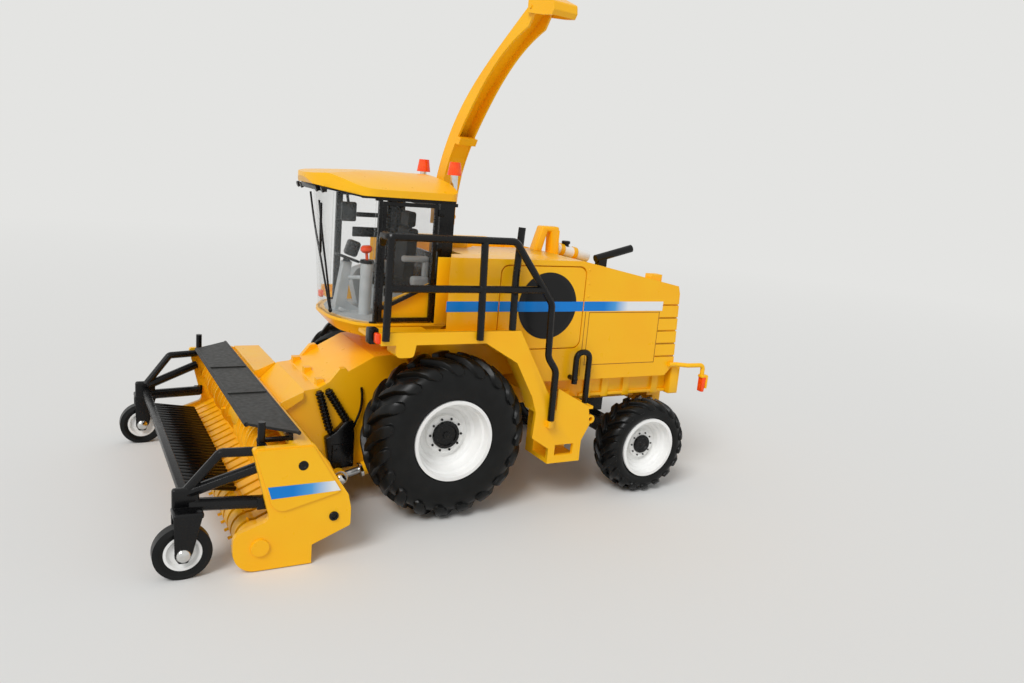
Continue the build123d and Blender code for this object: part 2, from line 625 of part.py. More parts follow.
# ---- platforms and rails
def platform(front):
    # Deck and toe board beside the cab, the arm behind the front wheel, and the ladder box.
    y0, y1, wall = CAB_HALF + 1.0, PLATFORM_Y, LIP_WALL
    deck = block((-22, y0, PLATFORM_LOW), (front, y1, PLATFORM_Z))
    deck -= block((-30, 0, 60), (BODY_FRONT + GAP, BODY_HALF, LIP_Z))
    deck += block((APRON_X, BODY_HALF, 56.4), (front - 5, y1, PLATFORM_LOW))
    board = [(front, PLATFORM_LOW), (front, LIP_Z), (-22, LIP_Z), (-39.5, 37), (-39.5, 45.5)]
    board += [(-53.4, 38), (-54.6, 31), (-51.5, 25), (-51.5, 17.3), (-37.6, 17.3), (-37.6, 23), (-30.4, 27.6)]
    board += [(-31, 37), (-28.8, 43), (-21.6, 55.5), (-9, PLATFORM_LOW)]
    fender = [(-9, PLATFORM_LOW), (-9, PLATFORM_Z), (-20.5, 57.8), (-30.1, 44), (-32.4, 37)]
    fender += [(-31, 37), (-28.8, 43), (-21.6, 55.5)]
    steps = block((-51.5, DECK_HALF - 4, 17.3), (-37.6, DECK_HALF + 1.4, DECK_Z))
    treads = [(-51.5, -37.6, 17.3, 18.9), (-51.5, -37.6, 25.3, 26.7), (-55.4, -39.5, 37, 38)]
    for rear, step_front, low, high in treads:
        steps += block((rear, DECK_HALF, low), (step_front, y1, high))
    toe = block((-48.2, y1 - wall - 1, 20.2), (-40.4, y1 + 1, 24.2))
    lug = rod((-54.9, y1 - wall, 33), (-54.9, y1, 33), 1.6)
    hole = rod((-54.9, y1 - wall - 1, 33), (-54.9, y1 + 1, 33), 0.8)
    socket = block((-38.4, y1, 31.5), (-35.6, y1 + 2 * TUBE_R + 0.4, 34))
    plates = along_y(board, y1 - wall, y1) + along_y(fender, BODY_HALF, y1)
    return deck + plates + steps + lug + socket - toe - hole


def railing():
    # Top and middle rails, posts on the toe board, and the hand rail that runs down to its socket.
    y, front = PLATFORM_Y + TUBE_R, PLATFORM_FRONT["left"] - 1.1
    path = [(front - 0.5, y - 9, RAIL_TOP - 3), (front + 0.6, y - 6, RAIL_TOP), (front + 0.6, y, RAIL_TOP)]
    path += [(-16.6, y, RAIL_TOP), (-32.7, y, 76.4), (-33.3, y, 57.4), (-37, y, 52.4), (-37, y, 34)]
    rail = pipe(path, TUBE_R, 1.8) + rod((front, y, RAIL_MID), (-29.2, y, RAIL_MID), TUBE_R)
    rail += rod((front, y, LIP_Z - 2), (front, y, RAIL_TOP), TUBE_R)
    return rail + rod((-6.1, y, PLATFORM_Z), (-5.1, y, RAIL_TOP), TUBE_R)


def grab_rails():
    # The tall grab bar behind the cab door and the hoop beside each ladder.
    y = PLATFORM_Y - 4.6
    tall = pipe([(-19.0, PLATFORM_Y - 1, LIP_Z + 0.2), (-20.6, y, 84), (-21.6, y - 0.4, 101.5)], TUBE_R, 4)
    hoop = pipe([(-49.0, y, 38), (-49.0, y, 56.4), (-54.6, y, 56.4), (-54.6, y, 38)], TUBE_R, 2.4)
    return Compound(children=[tall, hoop, flip(hoop)])


def turn_lamp():
    # The dark cap over the signal at the left platform's front end.
    front = PLATFORM_FRONT["left"]
    return block((front - 0.8, PLATFORM_Y - 4, LIP_Z), (front + 2.6, PLATFORM_Y, LIP_Z + 2.1))


def turn_lens(side):
    front, (low, high) = PLATFORM_FRONT[side], TURN_LENS[side]
    return block((front, PLATFORM_Y - 3.8, low), (front + 2, PLATFORM_Y - 0.2, high))


def marker_bracket():
    # A bent tube out from the side of the tail.
    y, x = BODY_HALF + MARKER_R, BODY_REAR
    path = [(x + 3, y, 50.5), (x - 0.5, y, 50.5), (x - 4.5, y + 2.6, 50.5)]
    path += [(x - 12, MARKER_Y, 50.5), (x - 12, MARKER_Y, 45.9)]
    return pipe(path, MARKER_R, 1.6)


def marker_lens():
    return block((BODY_REAR - 14.5, MARKER_Y - 1.8, 39.4), (BODY_REAR - 9.5, MARKER_Y + 1.8, 45.9))


def signal_lenses():
    # One at each platform's front and one at each side of the tail.
    marker = marker_lens()
    return Compound(children=[turn_lens("left"), flip(turn_lens("right")), marker, flip(marker)])


# ---- feeder house and lift
def feeder_house():
    # The throat between header and machine, hollow at its mouth, with its stops, cheeks and pin bosses.
    top = [(44, 41.3), (39.5, 41.8), (19.7, 52.3), (12, 53), (7.5, 52), (6, 46), (6, 24), (24, 9.5)]
    house = along_y(BACK_WALL[:-1] + top, -FEEDER_HALF, FEEDER_HALF)
    house -= block((22, -MOUTH_HALF, MOUTH_LOW), (60, MOUTH_HALF, MOUTH_HIGH))
    for y in STOPS_Y:
        house += block((36.6, y - 1.5, 41), (39.2, y + 1.5, 44.4))
    cheek = [(36.2, 43.0), (32.0, 48.3, 0.8), (29.8, 48.6, 0.8), (28.8, 46.9)]
    eye_x, eye_z = CYLINDER["eye"]
    inside = CYLINDER["y"] - EYE_HALF - GAP
    outside = CYLINDER["y"] + EYE_HALF + GAP
    side = rod((eye_x, FEEDER_HALF - 2, eye_z), (eye_x, outside + 1, eye_z), EYE_PIN_R)
    side += rod((eye_x, FEEDER_HALF - 2, eye_z), (eye_x, inside, eye_z), 2.4)
    side += rod((eye_x, outside, eye_z), (eye_x, outside + 1, eye_z), 1.9)
    side += along_y(cheek, FEEDER_HALF - 2.4, FEEDER_HALF)
    bores = rod((LIFT_X, -FEEDER_HALF - 1, LIFT_Z), (LIFT_X, FEEDER_HALF + 1, LIFT_Z), LIFT_PIN_R + RUN)
    return house + side + flip(side) - bores


def cylinder_line():
    # Unit vector from the barrel's foot to the rod's eye, and the distance between them.
    foot, eye = CYLINDER["foot"], CYLINDER["eye"]
    run = Vector(eye[0] - foot[0], 0, eye[1] - foot[1])
    return run.normalized(), run.length


def lift_barrel():
    # Foot eye, barrel and gland, bored for the rod.
    line, length = cylinder_line()
    y, r = CYLINDER["y"], CYLINDER["barrel_r"]
    foot = Vector(CYLINDER["foot"][0], y, CYLINDER["foot"][1])
    end = foot + line * (length - STROKE_ROOM)
    barrel = rod(foot + line, end, r) + rod(foot - Vector(0, r, 0), foot + Vector(0, r, 0), r)
    barrel -= rod(foot + line * 5.5, end + line, CYLINDER["rod_r"] + RUN)
    return barrel - rod(foot - Vector(0, r + 1, 0), foot + Vector(0, r + 1, 0), FOOT_PIN_R + RUN)


def lift_rod():
    # The polished rod and the eye at its end.
    line, length = cylinder_line()
    foot = Vector(CYLINDER["foot"][0], CYLINDER["y"], CYLINDER["foot"][1])
    eye, half = foot + line * length, Vector(0, EYE_HALF, 0)
    piece = rod(foot + line * 6.0, eye - line * 1.6, CYLINDER["rod_r"]) + rod(eye - half, eye + half, 2.6)
    return piece - rod(eye - half * 2, eye + half * 2, EYE_PIN_R + EYE_SLACK)


def hoses():
    # Two ribbed hoses that come together in a valve box on the feeder's left wall.
    y = FEEDER_HALF + 1.3
    rows = [(36.8, 25.5, 0.8), (28.2, 25.5, 0.8), (27.6, 15, 0.8), (33.4, 13.6, 0.8), (37.4, 19, 0.8)]
    box = along_y(rows, FEEDER_HALF, y + 1.7)
    legs = rod((40.0, y, 40.5), (34.6, y, 25), 1.3) + rod((37.4, y, 41), (30.4, y, 25), 1.3)
    return box + legs


# ---- header
def header_frame():
    # The trough round the auger with its top beam, floor, rear wall, side shelf and neck gussets.
    x, z, r = AUGER["x"], AUGER["z"], AUGER["r"] + 0.9
    corner = r * sin(radians(45))
    with BuildPart() as trough:
        with BuildSketch(Plane.XZ.offset(-HEADER_HALF)):
            with BuildLine():
                Line((59.2, 16.9), (x, z - r))
                ThreePointArc((x, z - r), (x - corner, z - corner), (x - r, z))
                Polyline((x - r, z), (50.2, 32.6), (53.2, 35.6), (58.5, 36.2), (58.5, 37.8), BACK_WALL[-1])
                Polyline(*reversed(BACK_WALL))
                Polyline(BACK_WALL[0], (50, 7.0), (57.7, 7.0), (57.7, FLOOR_LOW), (59.2, FLOOR_LOW), (59.2, 16.9))
            make_face()
        extrude(amount=2 * HEADER_HALF)
    beam_x, beam_z = BACK_WALL[-1]
    shelf = [(42, 36.6), (51.6, 36.6), (beam_x, beam_z), (beam_x, 38.3), (42, 38.3)]
    frame = trough.part + along_y(shelf, -HEADER_HALF, -FEEDER_HALF - GAP)
    gusset = [(beam_x, beam_z), (beam_x, beam_z + 0.6), (44.5, 41.2), (44.5, 38.8), BACK_WALL[-2]]
    side = along_y(gusset, FEEDER_HALF + GAP, FEEDER_HALF + GAP + 1)
    frame += side + flip(side)
    return frame - block((40, -MOUTH_HALF, MOUTH_LOW), (52, MOUTH_HALF, MOUTH_HIGH))


def header_end():
    # The side plate with its raised upper panel and the bosses that carry reel and auger.
    y, wall = HEADER_HALF, END_WALL
    rows = [(69.8, 37.8, 1), (52.1, 37.8, 1), (41.2, 21, 1), (40.2, 16.5, 1), (40.2, 11, 1), (51.8, 6.2, 0)]
    rows += [(51.8, 0.3, 0), (74.4, 0.3, 6.5), (74.6, 12, 3), (64.2, 15.6, 2), (65.2, 19.0, 1)]
    raised = [(69.2, 37.2, 1), (52.4, 37.2, 1), (43.6, 22.4, 1), (63.2, 17.4, 4)]
    plate = along_y(rows, y, y + wall - 0.5) + along_y(raised, y + wall - 0.5, y + wall)
    plate += rod((REEL["x"], y + 1, REEL["z"]), (REEL["x"], y + wall + 0.2, REEL["z"]), 2.6)
    for part, radius in ((REEL, REEL_PIN_R), (AUGER, AUGER["shaft"])):
        plate += rod((part["x"], y - BEARING, part["z"]), (part["x"], y, part["z"]), radius)
    return plate


def auger():
    # A tube with a left-hand flight on one side and a right-hand flight on the other.
    end = HEADER_HALF - GAP
    core = rod((0, -end, 0), (0, end, 0), AUGER["core"])
    turns_length = FLIGHT_TURNS * AUGER["pitch"]
    start = end - turns_length - 1.0
    helix = Helix(AUGER["pitch"], turns_length, (AUGER["core"] + AUGER["r"]) / 2)
    width = AUGER["r"] - AUGER["core"] + 0.8
    section = Plane(origin=helix @ 0, x_dir=(1, 0, 0), z_dir=helix % 0) * Rectangle(width, FLIGHT_WALL)
    flight = sweep(section, path=helix, is_frenet=True)
    flight &= rod((0, 0, -AUGER["pitch"]), (0, 0, turns_length + AUGER["pitch"]), AUGER["r"])
    left = Pos(0, start, 0) * Rot(-90, 0, 0) * flight
    piece = core + left + mirror(left, about=Plane.XZ)
    for y in (-end - 1, end + 1):
        piece -= Pos(0, y, 0) * Rot(90, 0, 0) * Cylinder(AUGER["shaft"] + RUN, 2 * (1 + BEARING))
    return Pos(AUGER["x"], 0, AUGER["z"]) * piece


def stripper_pitch():
    return 2 * HEADER_HALF / STRIPPERS


def pickup_strippers():
    # Curved bands round the front of the reel, joined at the floor and at the bottom bar.
    x, z, r = REEL["x"], REEL["z"], STRIPPER_R
    inner = r - STRIPPER_WALL
    with BuildPart() as band:
        with BuildSketch(Plane.XZ.offset(-HEADER_HALF)):
            with BuildLine():
                Line((59.2, 16.9), (x, z + r))
                ThreePointArc((x, z + r), (x + r, z), (x, z - r))
                Polyline((x, z - r), (59.2, z - r), (59.2, z - inner), (x, z - inner))
                ThreePointArc((x, z - inner), (x + inner, z), (x, z + inner))
                Polyline((x, z + inner), (59.2, 15.9), (59.2, 16.9))
            make_face()
        extrude(amount=2 * HEADER_HALF)
    piece = band.part
    pitch = stripper_pitch()
    for i in range(1, STRIPPERS):
        y = -HEADER_HALF + i * pitch
        piece -= block((60.4, y - STRIPPER_GAP / 2, 0), (80, y + STRIPPER_GAP / 2, 20))
    return piece


def pickup_reel():
    # A tube with rows of tines that pass between the strippers.
    end = HEADER_HALF - GAP
    reel = rod((0, -end, 0), (0, end, 0), REEL["tube_r"])
    pitch = stripper_pitch()
    for row in range(REEL["rows"]):
        turn = Rot(0, 360 / REEL["rows"] * row + 20, 0)
        for i in range(1, STRIPPERS):
            y = -HEADER_HALF + i * pitch
            reel += turn * block((REEL["tube_r"] - 0.8, y - 0.35, -0.35), (REEL["tine_r"], y + 0.35, 0.35))
    for y in (-end - 1, end + 1):
        reel -= Pos(0, y, 0) * Rot(90, 0, 0) * Cylinder(REEL_PIN_R + RUN, 2 * (1 + BEARING))
    return Pos(REEL["x"], 0, REEL["z"]) * reel


def cover_plate():
    # The dark wind plate over the auger: three fields between ribs, with rolled long edges.
    front, rear = (68.6, HEADER_HALF - 12.8), (55.8, HEADER_HALF - 1.6)
    plate = along_z([front, rear, (rear[0], -rear[1]), (front[0], -front[1])], 39.9, 40.7)
    for (x, half), z, radius in ((front, 40.2, 0.7), (rear, 40.3, 0.6)):
        plate += rod((x, -half, z), (x, half, z), radius)
    for y in (-17, 17):
        plate += block((56, y - 0.5, 40.5), (68.4, y + 0.5, 41.1))
    return plate


def cover_bracket():
    # A post on the end plate, a rail along the end of the top beam and the foot under the wind plate.
    post = rod((66.3, POST_Y, 37.8), (66.3, POST_Y, 44.0), 1.1)
    post += block((65.2, POST_Y - 0.8, 36.6), (67.4, HEADER_HALF, 37.8))
    post += block((57.2, POST_Y - 1.4, 37.8), (67.4, POST_Y + 0.2, 38.8))
    return post + block((57.2, POST_Y - 4, 37.8), (58.4, POST_Y, 39.8))


def guard_frame():
    # Tubes and struts from the end plates to the cross bar, and the forks of the gauge wheels.
    bar_x, bar_z, y = GUARD_BAR_X, GUARD_BAR_Z, GUARD_Y
    bar = block((bar_x - 1.2, -y + 0.8, bar_z - 1.2), (bar_x + 1.2, y - 0.8, bar_z + 1.2))
    side = pipe([(69.8, y, 35.9), (77.8, y, 35.9), (bar_x - 0.3, y - 1, bar_z + 1.8)], 1.1, 2.0)
    side += rod((69.8, y, 30.4), (bar_x - 0.5, y - 0.8, 24.4), 1.0)
    side += rod((71.5, y, 20.4), (bar_x - 1.9, y - 0.8, 20.2), 1.1)
    side += block((69.0, y, 28.6), (70.6, HEADER_HALF, 37.2))
    side += block((70.2, y, 18.8), (72.4, HEADER_HALF, 21.6))
    x, fork_y, half, wall = GAUGE["x"], GAUGE["y"], GAUGE["width"] / 2 + GAP, 0.8
    rear, front = x - 5.2, x + 2.4
    web = [(rear, 18.6, 0), (front, 18.6, 0), (front, 25.6, 1), (rear + 1, 25.6, 1)]
    side += along_y(web, fork_y - half - wall, fork_y - half)
    fork = [(x - 2.2, 5.6, 2), (x + 2.2, 5.6, 2), (front, 19.4, 0), (rear, 19.4, 0)]
    for low in (fork_y - half - wall, fork_y + half):
        side += along_y(fork, low, low + wall)
    side += block((rear, fork_y - half - wall, 18.6), (front, fork_y + half + wall, 19.8))
    side += rod((x, fork_y - half - wall, GAUGE["r"]), (x, fork_y + half + wall, GAUGE["r"]), GAUGE["pin"])
    return bar + side + flip(side)


def crop_comb():
    # Parallel rods that trail from a strip under the cross bar.
    reach = (COMB_RODS - 1) / 2 * COMB_PITCH
    comb = block((84.6, -reach - 1, 19.9), (87.0, reach + 1, GUARD_BAR_Z - 1.2))
    for i in range(COMB_RODS):
        y = -reach + i * COMB_PITCH
        comb += rod((86, y, 20.5), (69.8, y, 17.8), COMB_R)
    return comb


# ---- spout, built pointing along +X and then turned to its heading
def spout_turret():
    # A round base on the engine deck and a neck with a rounded top round the lift pin.
    px, pz = SPOUT_PIN
    low, centred = LOW_DECK_Z, (Align.CENTER, Align.CENTER, Align.MIN)
    base = Pos(0, 0, low) * Cylinder(TURRET_R, 3.0, align=centred)
    base += Pos(0, 0, low + 3) * Cylinder(TURRET_R - 1.2, 7.0, align=centred)
    half = SPOUT_HALF - SPOUT_WALL - GAP
    neck = block((px - NECK_HALF, -half, low + 9), (px + NECK_HALF, half, pz))
    neck += rod((px, -half, pz), (px, half, pz), NECK_HALF)
    pin = rod((px, -SPOUT_HALF - 0.6, pz), (px, SPOUT_HALF + 0.6, pz), SPOUT_PIN_R)
    return base + neck + pin


def spout_side(thin):
    # Side outline of the duct, or of the room inside it when the back is thinned by the wall.
    under = 2 * thin
    back_line = [(-7.9, 103), (-5.8, 114.2), (6.6, 139.6 - thin), (25.8, 159.3 - thin), (41.9, 172.7 - thin)]
    front_line = [(-2.6, 103), (0.1, 117), (12.4, 139 - under), (31, 159.3 - under), (41.5, 165.6 - under)]
    with BuildSketch(Plane.XZ) as sketch:
        with BuildLine():
            back = Spline(*[(x + thin, z) for x, z in back_line])
            front = Spline(*[(x + under, z) for x, z in front_line])
            Polyline(back @ 1, (43.6 + under, 173.4 - thin), (45.2 + under, 172), front @ 1)
            low = SPOUT_END_Z - under
            Polyline(back @ 0, (-7.9 + thin, low), (-2.6 + under, low), front @ 0)
        make_face()
    return sketch.sketch


def across(sketch, half):
    # A side outline made solid, centred on Y = 0.
    return Pos(0, half, 0) * extrude(sketch, 2 * half)


def spout_duct():
    # A channel open along its underside above the collar, closed below it, straddling the neck.
    px, pz = SPOUT_PIN
    body = across(spout_side(0), SPOUT_HALF) - across(spout_side(SPOUT_WALL), SPOUT_HALF - SPOUT_WALL)
    skin = [(-2.2, 105), (-1.5, 110.4), (0.1, 117), (2.3, 122.6), (5.3, 128.8)]
    skin += [(4.6, 129.2), (1.5, 122.8), (-0.7, 117.1), (-2.3, 110.4), (-3, 105)]
    collar = [(4.6, 127.8), (7.2, 127.2), (8.4, 129.6), (5.8, 130.4)]
    body += along_y(skin, -SPOUT_HALF, SPOUT_HALF) + along_y(collar, -SPOUT_HALF, SPOUT_HALF)
    body -= rod((px, -SPOUT_HALF - 1, pz), (px, SPOUT_HALF + 1, pz), SPOUT_PIN_R + RUN)
    x, z = FLAP_PIN
    reach = SPOUT_HALF + GAP + SPOUT_WALL + 0.3
    return body + rod((x, -reach, z), (x, reach, z), FLAP_PIN_R)


def spout_flap():
    # A short hood over the mouth, hung on the pin across the end of the duct.
    x, z = FLAP_PIN
    half, wall = SPOUT_HALF + GAP, SPOUT_WALL
    outer = [(-1.6, 3.3), (4.5, 3.7, 1), (11, 1, 1), (11.4, -1.6, 0.5), (10.4, -3.2, 0.5), (6, -2.8, 1)]
    outer += [(-1.6, -1.6)]
    inner = [(-3, 2.6), (4.3, 3), (10.3, 0.5), (10.5, -8), (-3, -8)]
    outer = [(x + row[0], z + row[1], *row[2:]) for row in outer]
    inner = [(x + a, z + b) for a, b in inner]
    hood = along_y(outer, -half - wall, half + wall) - along_y(inner, -half, half)
    return hood - rod((x, -half - 2, z), (x, half + 2, z), FLAP_PIN_R + RUN)


# ---- assembly
def on_heading(shape):
    return Pos(TURRET_X, 0, 0) * Rot(0, 0, 180 - SPOUT_HEADING) * shape


nodes = {
    "chassis": chassis(),
    "front_axle": front_axle(),
    "rear_axle": rear_axle(),
    "knuckle_left": knuckle(),
    "knuckle_right": flip(knuckle()),
    "tie_rod": tie_rod(),
    "engine_housing": engine_housing(),
    "side_doors": both(side_door()),
    "intake_screens": both(intake_screen()),
    "spout_cradle": spout_cradle(),
    "exhaust": exhaust(),
    "expansion_tank": expansion_tank(),
    "cab_base": cab_base(),
    "cab_frame": cab_frame(),
    "cab_windows": windows(),
    "cab_roof": cab_roof(),
    "light_bar": light_bar(),
    "door_frame": door_frame(),
    "door_pane": door_pane(GAP),
    "beacon_posts": both(beacon_post()),
    "beacon_lenses": both(beacon_lens()),
    "seat": seat(),
    "console": console(),
    "steering_wheel": steering_wheel(),
    "platforms": Compound(children=[platform(PLATFORM_FRONT["left"]), flip(platform(PLATFORM_FRONT["right"]))]),
    "railings": railing(),
    "grab_rails": grab_rails(),
    "turn_lamps": turn_lamp(),
    "marker_brackets": both(marker_bracket()),
    "signal_lenses": signal_lenses(),
    "feeder_house": feeder_house(),
    "hoses": hoses(),
    "lift_barrel_left": lift_barrel(),
    "lift_barrel_right": flip(lift_barrel()),
    "lift_rod_left": lift_rod(),
    "lift_rod_right": flip(lift_rod()),
    "header_frame": header_frame(),
    "header_ends": both(header_end()),
    "auger": auger(),
    "pickup_strippers": pickup_strippers(),
    "pickup_reel": pickup_reel(),
    "cover_plate": cover_plate(),
    "cover_brackets": both(cover_bracket()),
    "guard_frame": guard_frame(),
    "crop_comb": crop_comb(),
    "spout_turret": on_heading(spout_turret()),
    "spout_duct": on_heading(spout_duct()),
    "spout_flap": on_heading(spout_flap()),
}
for label, wheel, x in (("front", FRONT_WHEEL, 0), ("rear", REAR_WHEEL, -WHEELBASE)):
    for piece, make in (("tyre", tyre), ("rim", rim)):
        shape = Pos(x, wheel["y"], wheel["tyre"]) * make(wheel)
        nodes[f"{label}_{piece}_left"] = shape
        nodes[f"{label}_{piece}_right"] = flip(shape)
for piece, make in (("tyre", gauge_tyre), ("rim", gauge_rim)):
    shape = Pos(GAUGE["x"], GAUGE["y"], GAUGE["r"]) * make()
    nodes[f"gauge_{piece}_left"] = shape
    nodes[f"gauge_{piece}_right"] = flip(shape)

os.makedirs("parts", exist_ok=True)
boxes = [shape.bounding_box() for shape in nodes.values()]
middle = (min(box.min.X for box in boxes) + max(box.max.X for box in boxes)) / 2
for name, shape in nodes.items():
    export_step(Pos(-middle, 0, 0) * shape, f"parts/{name}.step")
print("nodes", len(nodes), "shifted by", round(-middle, 4))
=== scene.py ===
import json
from math import cos, pi, radians, sin
import bmesh
import bpy
from mathutils import Matrix, Vector


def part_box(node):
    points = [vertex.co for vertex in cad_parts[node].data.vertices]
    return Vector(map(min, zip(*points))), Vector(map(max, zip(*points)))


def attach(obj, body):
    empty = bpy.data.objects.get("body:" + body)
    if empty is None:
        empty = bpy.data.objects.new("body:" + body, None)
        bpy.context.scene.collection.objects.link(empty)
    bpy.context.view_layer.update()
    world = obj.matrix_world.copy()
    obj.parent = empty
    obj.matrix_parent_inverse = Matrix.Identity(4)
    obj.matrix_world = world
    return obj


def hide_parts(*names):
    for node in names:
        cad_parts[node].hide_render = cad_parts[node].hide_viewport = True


# Forage harvester, a 1:32 model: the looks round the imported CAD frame.
# Pieces are built in millimetres from the front axle's middle, the ground and the machine's centre line.
# endPiece moves each one to the frame and to metres.

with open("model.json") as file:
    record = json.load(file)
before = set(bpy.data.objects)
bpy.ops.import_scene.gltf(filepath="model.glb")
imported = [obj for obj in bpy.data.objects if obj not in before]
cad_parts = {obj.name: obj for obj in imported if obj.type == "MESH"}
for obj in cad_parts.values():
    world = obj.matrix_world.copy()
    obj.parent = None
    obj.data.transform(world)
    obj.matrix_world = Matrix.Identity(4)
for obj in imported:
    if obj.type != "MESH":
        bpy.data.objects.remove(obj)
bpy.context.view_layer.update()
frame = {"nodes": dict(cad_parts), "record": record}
nodes = frame["nodes"]
scene = bpy.context.scene
mm = 0.001
sides = {"left": 1, "right": -1}
rimLow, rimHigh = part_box("front_rim_left")
frontAxleX = (rimLow.x + rimHigh.x) / 2 / mm
print("frame loaded:", len(nodes), "nodes, front axle at", round(frontAxleX, 2), "mm")


def addTo(bm, part, start=(0, 0, 0), turn=None):
    # Turns and moves a finished part, then joins it to the piece.
    matrix = Matrix.Translation(start)
    if turn is not None:
        matrix = matrix @ turn.to_4x4()
    bmesh.ops.transform(part, matrix=matrix, verts=part.verts)
    scratch = bpy.data.meshes.new("scratch")
    part.to_mesh(scratch)
    part.free()
    bm.from_mesh(scratch)
    bpy.data.meshes.remove(scratch)


def tilted(angle, axis="Y"):
    return Matrix.Rotation(radians(angle), 3, axis)


def facing(direction):
    # The turn that takes +Z to a direction.
    return Vector((0, 0, 1)).rotation_difference(Vector(direction)).to_matrix()


def roundEdges(part, edges, radius, segments=2):
    bmesh.ops.bevel(part, geom=edges, offset=radius, segments=segments, profile=0.5, affect="EDGES", material=-1)


def lathe(bm, rows, start, direction=(0, 1, 0), steps=48):
    # Spins (distance along, radius) rows about a line.
    part = bmesh.new()
    rim = [part.verts.new((radius, 0, along)) for along, radius in rows]
    line = [part.edges.new(pair) for pair in zip(rim, rim[1:])]
    bmesh.ops.spin(part, geom=rim + line, cent=(0, 0, 0), axis=(0, 0, 1), angle=2 * pi, steps=steps, use_merge=True)
    bmesh.ops.remove_doubles(part, verts=part.verts, dist=0.0005)
    bmesh.ops.recalc_face_normals(part, faces=part.faces)
    addTo(bm, part, start, facing(direction))


def dome(bm, place, radius, height, direction=(0, 1, 0), steps=24):
    # A low rounded head on a short rim.
    arc = [(height * sin(radians(d)), radius * cos(radians(d))) for d in (15, 35, 55, 75)]
    lathe(bm, [(0, radius)] + arc + [(height, 0)], place, direction, steps)


def roundBox(bm, low, high, radius=0.2, segments=2, turn=None):
    low, high = Vector(low), Vector(high)
    part = bmesh.new()
    bmesh.ops.create_cube(part, size=1)
    bmesh.ops.scale(part, vec=high - low, verts=part.verts)
    if radius:
        roundEdges(part, part.edges[:], radius, segments)
    addTo(bm, part, (low + high) / 2, turn)


def prism(corners, push):
    # A flat outline pushed along a line into a solid.
    part = bmesh.new()
    flat = part.faces.new([part.verts.new(corner) for corner in corners])
    grown = bmesh.ops.extrude_face_region(part, geom=[flat])["geom"]
    bmesh.ops.translate(part, vec=push, verts=[v for v in grown if isinstance(v, bmesh.types.BMVert)])
    return part


def plate(bm, outline, low, high, radius=0.0, segments=2):
    # An (x, z) outline made solid between two y values.
    part = prism([(x, low, z) for x, z in outline], (0, high - low, 0))
    bmesh.ops.recalc_face_normals(part, faces=part.faces)
    if radius:
        roundEdges(part, part.edges[:], radius, segments)
    addTo(bm, part)


def tube(bm, points, radius):
    # A round bar along a smooth line through points.
    curve = bpy.data.curves.new("scratch", "CURVE")
    curve.dimensions = "3D"
    curve.bevel_depth = radius
    curve.bevel_resolution = 3
    curve.use_fill_caps = True
    spline = curve.splines.new("NURBS")
    spline.points.add(len(points) - 1)
    for point, place in zip(spline.points, points):
        point.co = (*place, 1)
    spline.use_endpoint_u = True
    spline.order_u = 3 if len(points) > 2 else 2
    line = bpy.data.objects.new("scratch", curve)
    mesh = bpy.data.meshes.new_from_object(line)
    bm.from_mesh(mesh)
    bpy.data.objects.remove(line)
    bpy.data.curves.remove(curve)
    bpy.data.meshes.remove(mesh)


def bent(points, bend):
    # A pair of points beside each corner keeps the runs straight and the bends tight.
    points = [Vector(p) for p in points]
    path = [points[0]]
    for before, corner, after in zip(points, points[1:], points[2:]):
        path += [corner + (before - corner).normalized() * bend, corner, corner + (after - corner).normalized() * bend]
    return path + [points[-1]]


def mirrored(bm):
    # The same again on the machine's right.
    bmesh.ops.mirror(bm, geom=bm.verts[:] + bm.edges[:] + bm.faces[:], merge_dist=0, axis="Y")


def toFrame(bm):
    bmesh.ops.translate(bm, vec=(frontAxleX, 0, 0), verts=bm.verts)
    bmesh.ops.scale(bm, vec=(mm, mm, mm), verts=bm.verts)


def copyOf(node):
    # A CAD node's mesh, merged and in millimetres from the front axle.
    bm = bmesh.new()
    bm.from_mesh(nodes[node].data)
    bmesh.ops.remove_doubles(bm, verts=bm.verts, dist=0.000001)
    bmesh.ops.scale(bm, vec=(1 / mm, 1 / mm, 1 / mm), verts=bm.verts)
    bmesh.ops.translate(bm, vec=(-frontAxleX, 0, 0), verts=bm.verts)
    return bm


def newObject(bm, name):
    mesh = bpy.data.meshes.new(name)
    bm.to_mesh(mesh)
    bm.free()
    thing = bpy.data.objects.new(name, mesh)
    scene.collection.objects.link(thing)
    return thing


def endPiece(bm, name, body, finish, sharp=35):
    # Sets a piece in the frame and on its body.
    bmesh.ops.recalc_face_normals(bm, faces=bm.faces)
    toFrame(bm)
    piece = newObject(bm, name)
    piece.data.materials.append(finish["material"])
    piece.data.shade_smooth()
    piece.data.set_sharp_from_angle(angle=radians(sharp))
    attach(piece, body)
    return piece


def cutCopy(node, name, cutter, finish):
    # A copy of a CAD node with a shape taken out of both its sides, shown in the node's place.
    bm = copyOf(node)
    bmesh.ops.dissolve_limit(bm, angle_limit=radians(0.5), verts=bm.verts, edges=bm.edges)
    piece = endPiece(bm, name, "machine", finish)
    mirrored(cutter)
    bmesh.ops.recalc_face_normals(cutter, faces=cutter.faces)
    toFrame(cutter)
    cutObject = newObject(cutter, "scratch")
    cutMesh = cutObject.data
    cut = piece.modifiers.new("cut", "BOOLEAN")
    cut.object = cutObject
    cut.operation = "DIFFERENCE"
    cut.solver = "EXACT"
    shape = bpy.data.meshes.new_from_object(piece.evaluated_get(bpy.context.evaluated_depsgraph_get()))
    piece.modifiers.remove(cut)
    old, piece.data = piece.data, shape
    bpy.data.meshes.remove(old)
    bpy.data.objects.remove(cutObject)
    bpy.data.meshes.remove(cutMesh)
    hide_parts(node)


